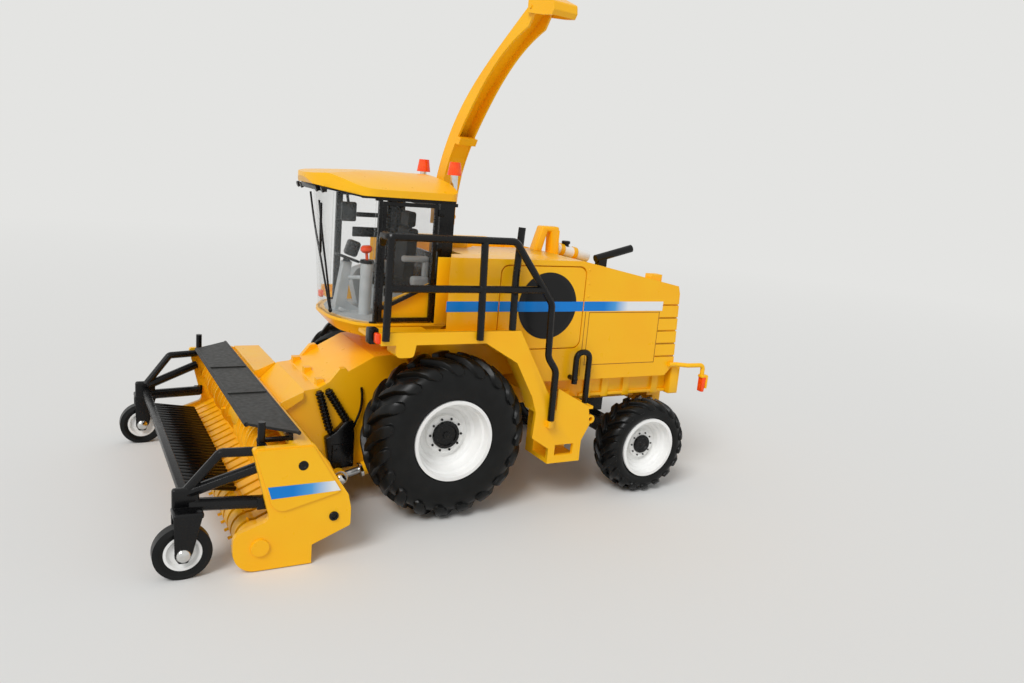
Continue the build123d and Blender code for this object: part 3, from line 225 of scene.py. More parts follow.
def linearColour(text):
    # sRGB hex to the linear values that the shader works in.
    parts = [int(text[i:i + 2], 16) / 255 for i in (1, 3, 5)]
    return tuple(p / 12.92 if p <= 0.04045 else ((p + 0.055) / 1.055) ** 2.4 for p in parts) + (1.0,)


def addNode(tree, kind, links=None, **settings):
    # Adds a node. Settings are its properties or its inputs, and links are inputs fed from other sockets.
    node = tree.nodes.new(kind)
    for name, value in settings.items():
        if hasattr(node, name):
            setattr(node, name, value)
        else:
            node.inputs[name.replace("_", " ")].default_value = value
    for name, socket in (links or {}).items():
        tree.links.new(socket, node.inputs[name])
    return node


def perMetre(size):
    # Noise scale for a pattern that is so many millimetres across.
    return 1 / (size * mm)


def newMaterial(name, slot, **shader):
    material = bpy.data.materials.new(name)
    material.use_nodes = True
    tree = material.node_tree
    for node in list(tree.nodes):
        if node.type != "BSDF_PRINCIPLED" and node.type != "OUTPUT_MATERIAL":
            tree.nodes.remove(node)
    bsdf = tree.nodes["Principled BSDF"]
    for label, value in shader.items():
        bsdf.inputs[label.replace("_", " ")].default_value = value
    place = addNode(tree, "ShaderNodeTexCoord").outputs["Object"]
    return {"material": material, "slot": slot, "tree": tree, "bsdf": bsdf, "place": place}


def mottle(finish, colours, size):
    # A slow drift between two nearly equal colours.
    tree = finish["tree"]
    noise = addNode(tree, "ShaderNodeTexNoise", {"Vector": finish["place"]}, Scale=perMetre(size), Detail=3.0)
    ramp = addNode(tree, "ShaderNodeValToRGB", {"Fac": noise.outputs["Fac"]})
    for stop, position, colour in zip(ramp.color_ramp.elements, (0.35, 0.65), colours):
        stop.position = position
        stop.color = linearColour(colour)
    tree.links.new(ramp.outputs["Color"], finish["bsdf"].inputs["Base Color"])


def roughen(finish, size, low, high):
    # Polished and duller patches.
    tree = finish["tree"]
    noise = addNode(tree, "ShaderNodeTexNoise", {"Vector": finish["place"]}, Scale=perMetre(size), Detail=4.0)
    spread = addNode(
        tree, "ShaderNodeMapRange", {"Value": noise.outputs["Fac"]},
        From_Min=0.3, From_Max=0.7, To_Min=low, To_Max=high,
    )
    tree.links.new(spread.outputs["Result"], finish["bsdf"].inputs["Roughness"])


waveFactor = 20  # a wave node's own multiplier, which leaves 2 pi times the size from one band to the next


def surface(finish, size, depth, edge=0.0, bands=None, pattern=None):
    # Bump of a pattern, of bands along an axis or of fine noise, over edges softened by so many millimetres.
    tree, at = finish["tree"], {"Vector": finish["place"]}
    if bands:
        scale = perMetre(size) / waveFactor
        pattern = addNode(tree, "ShaderNodeTexWave", at, bands_direction=bands, Scale=scale).outputs["Fac"]
    elif pattern is None:
        pattern = addNode(tree, "ShaderNodeTexNoise", at, Scale=perMetre(size), Detail=2.0).outputs["Fac"]
    bump = addNode(tree, "ShaderNodeBump", {"Height": pattern}, Strength=1.0, Distance=depth * mm)
    if edge:
        soft = addNode(tree, "ShaderNodeBevel", samples=4, Radius=edge * mm)
        tree.links.new(soft.outputs["Normal"], bump.inputs["Normal"])
    tree.links.new(bump.outputs["Normal"], finish["bsdf"].inputs["Normal"])


def glossyAbs():
    # Injection-moulded ABS with a thin gloss lacquer: clear reflections that waver with the lacquer's flow.
    finish = newMaterial(
        "lacquered_yellow_abs", "body_yellow",
        Roughness=0.3, Specular_IOR_Level=0.32, Coat_Weight=0.1, Coat_Roughness=0.1,
    )
    mottle(finish, ("#FFB90A", "#FFC010"), 18)
    roughen(finish, 3.0, 0.27, 0.36)
    surface(finish, 1.6, 0.004, edge=0.2)  # orange peel, drawn coarser than the real 0.5 mm so that it shows
    return finish


def satinAbs():
    # Mass-coloured black ABS from a polished mould: nearly black, with sharp highlights on the edges.
    finish = newMaterial("satin_black_abs", "black_plastic", Roughness=0.27, Specular_IOR_Level=0.3)
    mottle(finish, ("#070708", "#0D0D0E"), 6)
    roughen(finish, 2.0, 0.22, 0.32)
    surface(finish, 0.9, 0.004, edge=0.15)
    return finish


def glossBlack():
    # Rods of black ABS from a mirror-polished mould: each one carries a thin bright line.
    finish = newMaterial("polished_black_abs", "black_plastic", Roughness=0.16, Specular_IOR_Level=0.55)
    mottle(finish, ("#060607", "#0B0B0C"), 4)
    surface(finish, 1.1, 0.008)
    return finish


def softVinyl():
    # Soft PVC tyre: matt, a little dusty in random patches, with a faint sheen.
    finish = newMaterial("soft_black_vinyl", "tyre_rubber", Roughness=0.36, Specular_IOR_Level=0.24)
    mottle(finish, ("#080909", "#0F1010"), 4)
    roughen(finish, 2.5, 0.3, 0.42)
    surface(finish, 0.5, 0.012, edge=0.2)
    return finish


def whiteAbs():
    # White moulded wheel: even, slightly glossy, with shade gathering in its steps.
    finish = newMaterial(
        "white_moulded_abs", "white_plastic", Roughness=0.34, IOR=1.5, Coat_Weight=0.15, Coat_Roughness=0.2
    )
    mottle(finish, ("#F1F1EF", "#F7F7F5"), 9)
    roughen(finish, 2.0, 0.3, 0.42)
    surface(finish, 0.8, 0.004, edge=0.2)
    return finish


def greyAbs():
    # Dark grey moulding from a spark-eroded mould: an even fine grain.
    finish = newMaterial("grained_grey_abs", "grey_plastic", Roughness=0.5, Specular_IOR_Level=0.3)
    mottle(finish, ("#222220", "#292927"), 7)
    roughen(finish, 1.5, 0.42, 0.56)
    surface(finish, 0.45, 0.012, edge=0.15)
    return finish


def paleInterior():
    # Light grey polystyrene of the cab's inner moulding: flat and slightly bluish.
    finish = newMaterial("pale_grey_polystyrene", "interior_grey", Roughness=0.48, IOR=1.55)
    mottle(finish, ("#AEB4B6", "#BCC1C2"), 5)
    surface(finish, 0.6, 0.006, edge=0.15)
    return finish


def seatBlack():
    # Dark cloth-like grain moulded on the driver's seat.
    finish = newMaterial(
        "grained_seat_black", "black_plastic", Roughness=0.6, Sheen_Weight=0.03, Specular_IOR_Level=0.25
    )
    mottle(finish, ("#0B0C0D", "#131415"), 3)
    surface(finish, 0.5, 0.04, edge=0.3)
    return finish


def clearStyrene():
    # Clear polystyrene glazing: hazy towards its edges, with a few faint flow lines.
    finish = newMaterial("clear_polystyrene", "clear_plastic", Roughness=0.07, IOR=1.55, Alpha=0.12)
    mottle(finish, ("#B4BBBC", "#C6CCCC"), 12)
    roughen(finish, 8.0, 0.04, 0.14)
    surface(finish, 9.0, 0.03)
    tree = finish["tree"]
    rim = addNode(tree, "ShaderNodeLayerWeight", Blend=0.32)
    haze = addNode(tree, "ShaderNodeMapRange", {"Value": rim.outputs["Facing"]}, To_Min=0.02, To_Max=0.2)
    tree.links.new(haze.outputs["Result"], finish["bsdf"].inputs["Alpha"])
    return finish


def orangeStyrene():
    # Tinted polystyrene lens: deep orange, with moulded flutes.
    finish = newMaterial(
        "orange_polystyrene", "orange_lens",
        Roughness=0.18, Specular_IOR_Level=0.4, Coat_Weight=0.15, Coat_Roughness=0.05,
    )
    mottle(finish, ("#FF4408", "#FF5A16"), 2)
    surface(finish, 0.8, 0.03, edge=0.2, bands="Z")
    return finish


def chromePlate():
    # Bright plated pin or cap: a mirror with the faintest waver.
    finish = newMaterial("bright_chrome", "chrome", Metallic=1.0, Roughness=0.12)
    mottle(finish, ("#D3D3D1", "#E2E2E0"), 2)
    surface(finish, 0.8, 0.004)
    return finish


def turnedSteel():
    # Turned steel rod: fine rings round it left by the tool.
    finish = newMaterial("turned_steel", "steel", Metallic=1.0, Roughness=0.28)
    mottle(finish, ("#A9AAAA", "#BDBEBE"), 2)
    surface(finish, 0.4, 0.01, bands="X")
    return finish


def dullYellow():
    # The same yellow ABS without lacquer, as on the moving small parts of the header.
    finish = newMaterial("satin_yellow_abs", "body_yellow", Roughness=0.4, Specular_IOR_Level=0.35)
    mottle(finish, ("#FBB408", "#FFBE10"), 6)
    roughen(finish, 2.0, 0.36, 0.5)
    surface(finish, 0.8, 0.008, edge=0.12)
    return finish


def ribbedYellow():
    # The strippers' yellow ABS, with soft bands of light and shade across it.
    finish = newMaterial("ribbed_yellow_abs", "body_yellow", Roughness=0.36, Specular_IOR_Level=0.4)
    mottle(finish, ("#F2AC06", "#FFBC0E"), 5)
    surface(finish, 1.45, 0.16, bands="Y")
    return finish


def paintedGrooveShade():
    # Painted shade of a panel gap in yellow plastic: a flat dark amber where the gap's shaded bottom would be.
    finish = newMaterial("painted_panel_gap_shade", "body_yellow", Roughness=0.7)
    mottle(finish, ("#9A5F08", "#AC6C0A"), 3)
    return finish


def printedStripe(name, clearFrom, clearTo):
    # Pad-printed ink: a crisp flat film that runs from strong blue to almost white along the machine.
    finish = newMaterial(name, "body_yellow", Roughness=0.32, Specular_IOR_Level=0.3)
    tree = finish["tree"]
    along = addNode(tree, "ShaderNodeSeparateXYZ", {"Vector": finish["place"]}).outputs["X"]
    share = addNode(
        tree, "ShaderNodeMapRange", {"Value": along},
        From_Min=(clearFrom + frontAxleX) * mm, From_Max=(clearTo + frontAxleX) * mm,
    )
    ramp = addNode(tree, "ShaderNodeValToRGB", {"Fac": share.outputs["Result"]})
    ramp.color_ramp.elements[0].color = linearColour("#007ED6")
    ramp.color_ramp.elements[1].color = linearColour("#E9ECEE")
    ramp.color_ramp.elements.new(0.45).color = linearColour("#4E9FE0")
    tree.links.new(ramp.outputs["Color"], finish["bsdf"].inputs["Base Color"])
    surface(finish, 1.2, 0.004)
    return finish


def punchedScreen():
    # Pressed intake screen: black sheet with round holes in rows, drawn 0.9 mm apart so that they show; each hole is
    # painted shade, a darker black over a dent in the bump.
    finish = newMaterial("perforated_black_screen", "black_plastic", Roughness=0.38, Specular_IOR_Level=0.3)
    tree = finish["tree"]
    holes = addNode(tree, "ShaderNodeTexVoronoi", {"Vector": finish["place"]}, Scale=perMetre(0.9), Randomness=0.0)
    # The darker first stop is painted shade inside each hole.
    ramp = addNode(tree, "ShaderNodeValToRGB", {"Fac": holes.outputs["Distance"]})
    for stop, position, colour in zip(ramp.color_ramp.elements, (0.3, 0.38), ("#020202", "#0E0E0F")):
        stop.position = position
        stop.color = linearColour(colour)
    tree.links.new(ramp.outputs["Color"], finish["bsdf"].inputs["Base Color"])
    surface(finish, 0.9, 0.05, pattern=ramp.outputs["Color"])
    return finish


yellow, black, vinyl, white = glossyAbs(), satinAbs(), softVinyl(), whiteAbs()
grey, pale, seatCloth, glazing = greyAbs(), paleInterior(), seatBlack(), clearStyrene()
orange, chrome, steel, satinYellow = orangeStyrene(), chromePlate(), turnedSteel(), dullYellow()
groove, screenBlack, ribbed, polished = paintedGrooveShade(), punchedScreen(), ribbedYellow(), glossBlack()
bodyInk = printedStripe("body_stripe_ink", -61, -72)
endInk = printedStripe("header_stripe_ink", 58, 46)
print("materials made")


def finishNodes():
    bySlot = {
        "body_yellow": yellow, "black_plastic": black, "grey_plastic": grey, "interior_grey": pale,
        "white_plastic": white, "tyre_rubber": vinyl, "clear_plastic": glazing, "orange_lens": orange,
        "steel": steel, "chrome": chrome,
    }
    byNode = {
        "seat": seatCloth, "intake_screens": screenBlack, "pickup_strippers": ribbed, "pickup_reel": satinYellow,
        "auger": satinYellow,
    }
    slots = {row["node"]: row["material_slot"] for row in frame["record"]["subparts"]}
    for name, node in nodes.items():
        finish = byNode.get(name) or bySlot[slots[name]]
        node.data.materials.clear()
        node.data.materials.append(finish["material"])


finishNodes()
print("CAD nodes finished")


# "seat" and "bead" are the radii at the rim, and "tongue" is where a lug ends as a share of the radius.
bigTyre = {
    "x": 0.0, "y": 38.8, "radius": 29.0, "half": 9.9, "seat": 13.3, "bead": 14.2, "lugs": 19, "lugHeight": 1.9,
    "lugWidth": 6.0, "sweep": 20.0, "tongue": 0.80,
}
smallTyre = {
    "x": -85.0, "y": 39.8, "radius": 18.7, "half": 6.8, "seat": 10.9, "bead": 11.7, "lugs": 18, "lugHeight": 1.4,
    "lugWidth": 4.2, "sweep": 21.0, "tongue": 0.81,
}
# Shares of the half width, each with a share of the way down from the crown to the bead.
shoulder = [(0, 0), (0.3, 0.03), (0.6, 0.07), (0.8, 0.14), (0.92, 0.27), (0.985, 0.45), (1.0, 0.62), (0.97, 0.82)]
# Shares of a lug's length and width, then the depth it is sunk and the rounding of its crest.
lugShape = {
    "first": 0.015, "roundFrom": 0.8, "roundLength": 0.2, "crestEnd": 0.985, "crest": 0.66, "sunk": 0.4,
    "rounding": 0.16,
}


def tyreLine(tyre):
    # (outward, radius) from the tread's middle round the shoulder and down the side wall.
    half, crown = tyre["half"], tyre["radius"] - tyre["lugHeight"]
    side = crown - tyre["bead"]
    line = [(share, crown - drop * side) for share, drop in shoulder]
    line += [(0.9, tyre["bead"] + 0.4), (0.82, tyre["bead"] + 0.1)]
    return [Vector((share * half, radius)) for share, radius in line]


def pointOn(line, share):
    # Place and outward direction at a share of the line's length.
    runs = [(b - a).length for a, b in zip(line, line[1:])]
    left = share * sum(runs)
    for (a, b), run in zip(zip(line, line[1:]), runs):
        if left <= run or b is line[-1]:
            step = (b - a) / run
            return a + step * min(left, run), Vector((-step.y, step.x))
        left -= run


def lug(tyre, line, turn, side):
    # A swept bar that widens towards the shoulder and ends in a rounded tongue on the side wall.
    s = lugShape
    part = bmesh.new()
    bmesh.ops.create_grid(part, x_segments=12, y_segments=3, size=0.5)
    grown = bmesh.ops.extrude_face_region(part, geom=part.faces[:])["geom"]
    top = [v for v in grown if isinstance(v, bmesh.types.BMVert)]
    bmesh.ops.translate(part, vec=(0, 0, 1), verts=top)
    part.verts.index_update()
    tops = {v.index for v in top}
    crown = tyre["radius"] - tyre["lugHeight"]
    reach = 0.0
    while pointOn(line, reach)[0].y > tyre["tongue"] * tyre["radius"]:
        reach += 0.01
    for vert in part.verts:
        along, across, up = vert.co.x + 0.5, vert.co.y * 2, vert.co.z > 0.5
        place, out = pointOn(line, s["first"] + along * (reach - s["first"]))
        width = tyre["lugWidth"] * (0.5 + 0.5 * min(1, along * 1.5))
        if along > s["roundFrom"]:
            width *= (1 - ((along - s["roundFrom"]) / s["roundLength"]) ** 2 * 0.8) ** 0.5
        height = tyre["lugHeight"] * (1 - 0.5 * max(0, along - 0.5) / 0.5)
        if up:
            width *= s["crest"]
            along = min(along, s["crestEnd"])
        else:
            height = -s["sunk"]
        lift = place + out * height
        lift.y = min(lift.y, tyre["radius"])
        angle = turn + radians(tyre["sweep"]) * (1 - along) ** 1.25
        slip = across * width / 2 / max(place.y, crown * 0.8)
        vert.co = Vector((sin(angle + slip) * lift.y, side * lift.x, cos(angle + slip) * lift.y))
    bmesh.ops.recalc_face_normals(part, faces=part.faces)
    crest = [e for e in part.edges if e.calc_face_angle(0) > radians(40) and all(v.index in tops for v in e.verts)]
    roundEdges(part, crest, s["rounding"])
    return part


def makeTyre(tyre, name, word):
    line, side = tyreLine(tyre), sides[word]
    bm = bmesh.new()
    inner = [Vector((0.79 * tyre["half"], tyre["seat"]))]
    rows = [(p.x, p.y) for p in reversed(line + inner)] + [(-p.x, p.y) for p in (line + inner)[1:]]
    rows.append(rows[0])
    lathe(bm, rows, (0, 0, 0), steps=96)
    pitch = 2 * pi / tyre["lugs"]
    for i in range(tyre["lugs"]):
        addTo(bm, lug(tyre, line, i * pitch, 1))
        addTo(bm, lug(tyre, line, (i + 0.5) * pitch, -1))
    bmesh.ops.translate(bm, vec=(tyre["x"], side * tyre["y"], tyre["radius"]), verts=bm.verts)
    piece = endPiece(bm, f"{name}_tread_{word}", f"{name}_wheel_{word}", vinyl, sharp=40)
    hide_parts(f"{name}_tyre_{word}")


for word in sides:
    makeTyre(bigTyre, "front", word)
    makeTyre(smallTyre, "rear", word)
print("tyres made")


# "groove" is the depth of the ring in the hub's face, and "flange" the thickness and radius of the plate behind it.
hubs = {
    "front": {
        "x": 0.0, "z": 29.0, "disc": 38.6, "radius": 4.9, "stand": 3.0, "groove": 0.55, "flange": (1.8, 6.9),
        "bolts": 10, "circle": 5.8, "bolt": 0.44,
    },
    "rear": {
        "x": -85.0, "z": 18.7, "disc": 39.86, "radius": 3.65, "stand": 2.7, "groove": 0.25, "flange": (1.7, 5.5),
        "bolts": 10, "circle": 4.6, "bolt": 0.33,
    },
}


def makeHub(name, word):
    hub, side = hubs[name], sides[word]
    r, h, g = hub["radius"], hub["stand"], hub["groove"]
    x, y, z = hub["x"], hub["disc"], hub["z"]
    step, f = hub["flange"]
    bm = bmesh.new()
    rows = [(-0.2, 0), (-0.2, r), (h - 0.5, r), (h - 0.15, r - 0.15), (h, r - 0.5), (h, r - 1.2), (h - g, r - 1.4)]
    rows += [(h - g, 1.3), (h - 0.1, 1.2), (h, 1.0), (h, 0.45), (h - 0.2, 0.3), (h - 0.2, 0)]
    lathe(bm, rows, (x, side * y, z), (0, side, 0))
    head = [(0, hub["bolt"]), (0.45, hub["bolt"]), (0.6, hub["bolt"] * 0.7), (0.6, 0)]
    for i in range(hub["bolts"]):
        angle = 2 * pi * i / hub["bolts"]
        place = (x + hub["circle"] * cos(angle), side * (y + step - 0.05), z + hub["circle"] * sin(angle))
        lathe(bm, head, place, (0, side, 0), 6)
    flange = bmesh.new()
    rows = [(-0.1, f), (step - 0.3, f), (step, f - 0.3), (step, r - 0.5), (-0.1, r - 0.5)]
    lathe(flange, rows, (x, side * y, z), (0, side, 0))
    endPiece(bm, f"{name}_hub_{word}", f"{name}_wheel_{word}", black)
    endPiece(flange, f"{name}_flange_{word}", f"{name}_wheel_{word}", white)


for word in sides:
    for name in hubs:
        makeHub(name, word)

gaugeCap = {"x": 87.6, "y": 59.1, "z": 8.0, "radius": 2.0, "height": 1.15, "outside": 3.35}


def makeGaugeCaps():
    # A plated domed cap on each end of the small wheel's pin.
    g = gaugeCap
    for word, side in sides.items():
        bm = bmesh.new()
        for out in (1, -1):
            dome(bm, (g["x"], side * g["y"] + out * g["outside"], g["z"]), g["radius"], g["height"], (0, out, 0))
        endPiece(bm, f"gauge_caps_{word}", "header", chrome)


makeGaugeCaps()
print("hubs and caps made")


# "runs" are the front and rear ends of the stripe's lengths, which stop at the side door's gaps.
bodyStripe = {
    "low": 72.0, "high": 75.6, "runs": [(3.0, -16.5), (-17.0, -51.5), (-52.0, -88.5)], "side": 40.0, "film": 0.05,
}
headerStripe = {"outline": [(65.3, 26.0), (45.8, 26.0), (43.9, 22.8), (64.2, 22.3)], "face": 63.4, "film": 0.05}


def screenBand():
    # The band of each domed screen that the stripe runs across, lifted off it by the film.
    s = bodyStripe
    part = copyOf("intake_screens")
    for z, clear in ((s["low"], {"clear_inner": True}), (s["high"], {"clear_outer": True})):
        everything = part.verts[:] + part.edges[:] + part.faces[:]
        bmesh.ops.bisect_plane(part, geom=everything, plane_co=(0, 0, z), plane_no=(0, 0, 1), **clear)
    part.normal_update()
    hidden = [f for f in part.faces if abs(f.normal.y) < 0.3 or f.normal.y * f.calc_center_median().y < 0]
    bmesh.ops.delete(part, geom=hidden, context="FACES")
    for vert in part.verts:
        vert.co.y += s["film"] if vert.co.y > 0 else -s["film"]
    return part


def makeStripes():
    s, end = bodyStripe, headerStripe
    bm = bmesh.new()
    for front, rear in s["runs"]:
        outline = [(front, s["low"]), (front, s["high"]), (rear, s["high"]), (rear, s["low"])]
        plate(bm, outline, s["side"], s["side"] + s["film"])
    mirrored(bm)
    addTo(bm, screenBand())
    endPiece(bm, "body_stripes", "machine", bodyInk)
    bm = bmesh.new()
    plate(bm, end["outline"], end["face"], end["face"] + end["film"])
    mirrored(bm)
    endPiece(bm, "header_stripes", "header", endInk)


makeStripes()
print("stripes made")


# "seam" is a single upright line: its x and its two ends.
tailPanel = {
    "front": -54.6, "rear": -87.4, "low": 51.5, "high": 71.6, "line": 0.28, "seam": (-53.2, 47.5, 71.8),
    "depth": (39.9, 40.03), "rivets": [(-53.6, 77.5), (-53.3, 82.2), (-52.9, 87.2)], "rivetY": 39.95,
}


def makeTailPanel():
    # Fine panel lines drawn as painted shade, thin flat films of dark amber on the side, and the row of small rivet
    # heads behind the side door.
    t, w = tailPanel, tailPanel["line"]
    seam, low, high = t["seam"]
    bm = bmesh.new()
    for (x0, z0), (x1, z1) in (
        ((t["rear"], t["low"]), (t["front"], t["low"] + w)),
        ((t["rear"], t["high"] - w), (t["front"], t["high"])),
        ((t["rear"], t["low"]), (t["rear"] + w, t["high"])),
        ((t["front"] - w, t["low"]), (t["front"], t["high"])),
        ((seam, low), (seam + w, high)),
    ):
        plate(bm, [(x0, z0), (x1, z0), (x1, z1), (x0, z1)], *t["depth"])
    mirrored(bm)
    # The lines carry painted shade: the dark amber of a gap's shaded bottom, on a flat film.
    endPiece(bm, "tail_painted_groove_shade", "machine", groove)
    bm = bmesh.new()
    for x, z in t["rivets"]:
        dome(bm, (x, t["rivetY"], z), 0.45, 0.3, steps=12)
    mirrored(bm)
    endPiece(bm, "tail_rivets", "machine", yellow)


makeTailPanel()
print("tail panel made")


# Ribbed hoses, valve box and thin hose on the feeder house.
hoses = {
    "radius": 0.95, "rib": 1.45, "pitch": 1.3,
    "runs": [((39.4, 21.3, 41.2), (34.9, 21.3, 26.2)), ((36.4, 21.3, 41.6), (28.9, 21.3, 29.6))],
    "box": [
        (36.9, 24.6), (33.9, 26.2), (29.9, 30.4), (27.2, 30.6), (26.6, 25.0), (26.5, 13.6), (33.4, 13.0), (35.6, 16.2),
    ],
    "boxDepth": (20.0, 23.2), "lid": ((28.6, 22.9, 15.6), (34.6, 23.9, 22.4)),
    "screws": [(29.6, 23.8, 17.2), (33.4, 23.8, 20.6)],
    "thin": [(24.2, 20.6, 41.6), (23.4, 20.9, 36.4), (25.6, 21.2, 29.4), (28.6, 21.6, 24.0)], "thinRadius": 0.45,
}


def makeHoses():
    h = hoses
    r, rib = h["radius"], h["rib"]
    bm = bmesh.new()
    for start, end in h["runs"]:
        run = Vector(end) - Vector(start)
        rows, along = [(0, 0), (0, r)], 0.5
        while along + h["pitch"] < run.length:
            rows += [(along, r), (along + 0.25, rib), (along + 0.75, rib), (along + 1.0, r)]
            along += h["pitch"]
        rows += [(run.length, r), (run.length, 0)]
        lathe(bm, rows, start, run.normalized(), 20)
    plate(bm, h["box"], *h["boxDepth"], radius=0.5)
    roundBox(bm, *h["lid"], 0.3)
    tube(bm, h["thin"], h["thinRadius"])
    for place in h["screws"]:
        dome(bm, place, 0.5, 0.3)
    piece = endPiece(bm, "ribbed_hoses", "header", black)
    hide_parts("hoses")


makeHoses()
print("hoses made")


# Caps over the shaft ends: x, z, the face that each one stands on and its height.
endCaps = {"radius": 1.45, "places": [(55.3, 31.7, 63.4, 0.18), (45.5, 14.6, 62.9, 0.6)]}


def makeEndCaps():
    r = endCaps["radius"]
    bm = bmesh.new()
    for x, z, face, h in endCaps["places"]:
        rows = [(-0.3, 0), (-0.3, r), (0.6 * h, r), (h, r - 0.3), (h, 0.75), (0.3 * h, 0.6), (0.3 * h, 0)]
        lathe(bm, rows, (x, face, z), steps=28)
    mirrored(bm)
    endPiece(bm, "header_end_caps", "header", black)


makeEndCaps()


# Heads of the lift cylinders' pins, the glands at the barrels' mouths and the eyes on the rods.
liftEye = {
    "x": 32.2, "y": 24.9, "z": 11.0, "headY": 27.8, "head": 1.9, "radius": 2.75, "bore": 1.5, "half": 1.55,
    "gland": (24.95, 12.93), "run": (30.2, 0, -8.0),
}


def makeLiftDetails():
    e = liftEye
    run = Vector(e["run"]).normalized()
    for word, side in sides.items():
        bm = bmesh.new()
        dome(bm, (e["x"], side * e["headY"], e["z"]), e["head"], 0.9, (0, side, 0))
        endPiece(bm, f"lift_pin_head_{word}", "header", chrome)
        bm = bmesh.new()
        x, z = e["gland"]
        rows = [(-0.9, 2.3), (-0.9, 2.62), (0.0, 2.62), (0.25, 2.3), (0.25, 1.3)]
        lathe(bm, rows, (x, side * e["y"], z), run, 32)
        endPiece(bm, f"lift_gland_{word}", f"lift_barrel_{word}", chrome)
        bm = bmesh.new()
        r, bore, half = e["radius"], e["bore"], e["half"]
        rows = [(-half, bore), (-half, r), (half, r), (half, bore), (-half, bore)]
        lathe(bm, rows, (e["x"], side * e["y"], e["z"]), steps=32)
        endPiece(bm, f"lift_eye_{word}", f"lift_rod_{word}", satinYellow)


makeLiftDetails()
print("header and lift details made")


wipers = {
    "radius": 0.36, "blade": ((35.6, 3.2, 86.0), (36.4, 4.2, 103.6)), "pivot": (33.2, 9.9, 67.0),
    "lines": [
        [(36.6, 2.6, 104.2), (35.7, 5.5, 91.0), (34.3, 8.0, 79.0), (33.2, 9.9, 67.4)],
        [(36.9, -7.6, 106.4), (36.3, -4.4, 96.7), (35.2, 3.9, 82.9), (33.4, 9.6, 67.4)],
    ],
}
# Boxes are given by two corners, and the column's parts by the height that each one starts at.
cabParts = {
    "monitor": ((20.6, -6.2, 96.8), (26.2, -4.4, 103.8)),
    "stem": [(23.6, -5.3, 103.4), (24.2, -5.2, 105.4), (24.6, -5.2, 109.5)],
    "panelBar": ((-0.6, -23.4, 89.6), (16.0, -22.2, 93.4)),
    "upperBar": ((-0.6, -23.5, 97.2), (14.6, -22.8, 99.0)),
    "dash": ((21.0, -2.4, 84.9), (25.4, 2.4, 90.6)),
    "column": (20.4, 8.6), "foot": 65.4, "collar": 83.6, "knob": 84.6,
    "arm": [(24.9, 0.4, 77.2), (22.6, 4.2, 77.8), (20.6, 8.0, 78.3)],
    "armrest": [
        ((-2.8, 7.4, 84.4), (7.4, 10.0, 86.6), 0.8),
        ((-3.2, 7.2, 75.6), (3.6, 10.2, 79.2), 1.0),
        ((-3.0, 7.6, 78.8), (-0.6, 9.8, 85.0), 0.8),
    ],
    "pedals": [((24.6, -5.6, 65.2), (28.6, -3.2, 66.6)), ((24.6, 3.2, 65.2), (28.6, 5.6, 66.6))],
    "lean": -18,
    "floor": [(1.0, 22.2), (22.0, 22.2), (26.5, 17.5), (29.5, 11.0), (31.0, 4.0)], "floorLow": 64.9, "floorRise": 0.5,
}


def makeCabDetails():
    c, w = cabParts, wipers
    x, y = c["column"]
    bm = bmesh.new()
    for line in w["lines"]:
        tube(bm, line, w["radius"])
    roundBox(bm, *w["blade"], 0.2, turn=tilted(4) @ tilted(-9, "X"))
    dome(bm, w["pivot"], 0.9, 0.6, (1, 0.5, 0))
    endPiece(bm, "wipers", "machine", black)
    bm = bmesh.new()
    roundBox(bm, *c["monitor"], 0.7, 3)
    tube(bm, c["stem"], 0.5)
    roundBox(bm, *c["panelBar"], 0.35)
    roundBox(bm, *c["upperBar"], 0.3)
    lathe(bm, [(0, 0), (0, 2.45), (1.0, 2.45), (1.2, 2.0), (1.2, 0)], (x, y, c["collar"]), (0, 0, 1), 32)
    roundBox(bm, *c["dash"], 1.1, 3, turn=tilted(c["lean"]))
    endPiece(bm, "cab_dark_parts", "machine", black)
    bm = bmesh.new()
    lathe(bm, [(0, 0), (0, 2.2), (18.0, 2.2), (18.2, 2.0), (18.2, 0)], (x, y, c["foot"]), (0, 0, 1), 32)
    tube(bm, c["arm"], 0.75)
    for low, high, radius in c["armrest"]:
        roundBox(bm, low, high, radius, 3)
    for low, high in c["pedals"]:
        roundBox(bm, low, high, 0.4, turn=tilted(c["lean"]))
    edge = c["floor"] + [(u, -v) for u, v in reversed(c["floor"])]
    addTo(bm, prism([(u, v, c["floorLow"]) for u, v in edge], (0, 0, c["floorRise"])))
    endPiece(bm, "cab_pale_parts", "machine", pale)
    bm = bmesh.new()
    rows = [(0, 0), (0, 0.55), (2.4, 0.5), (2.8, 1.5), (3.6, 2.1), (4.6, 2.0), (5.2, 1.3), (5.3, 0)]
    lathe(bm, rows, (x, y, c["knob"]), (0.12, 0, 1), 28)
    endPiece(bm, "control_knob", "machine", orange)


makeCabDetails()
print("cab details made")


# "end" is the hand rail's way down past the platform and "post" the leaning bar, both as (x, z) in the rail's plane.
rails = {
    "radius": 1.25, "y": 48.8, "front": 26.9, "top": 97.2, "middle": 81.2, "middleRear": -29.4, "foot": 64.6,
    "bend": 3.2, "end": [(-16.6, 97.2), (-32.7, 76.4), (-33.3, 57.4), (-37, 52.4), (-37, 33.6)],
    "post": [(-6.1, 64.2), (-5.1, 97.2)],
    "tall": [(-19.0, 47.0, 67.0), (-20.6, 43.4, 84), (-21.6, 43.0, 101.5)], "tallBend": 5,
    "stud": (-19.6, 46.0, 72.0),
}
hoop = {
    "radius": 1.1, "y": 43.4, "front": -48.9, "rear": -54.5, "top": 57.4, "waist": 51.5, "feet": (45.6, 38),
    "mount": 47.4,
}


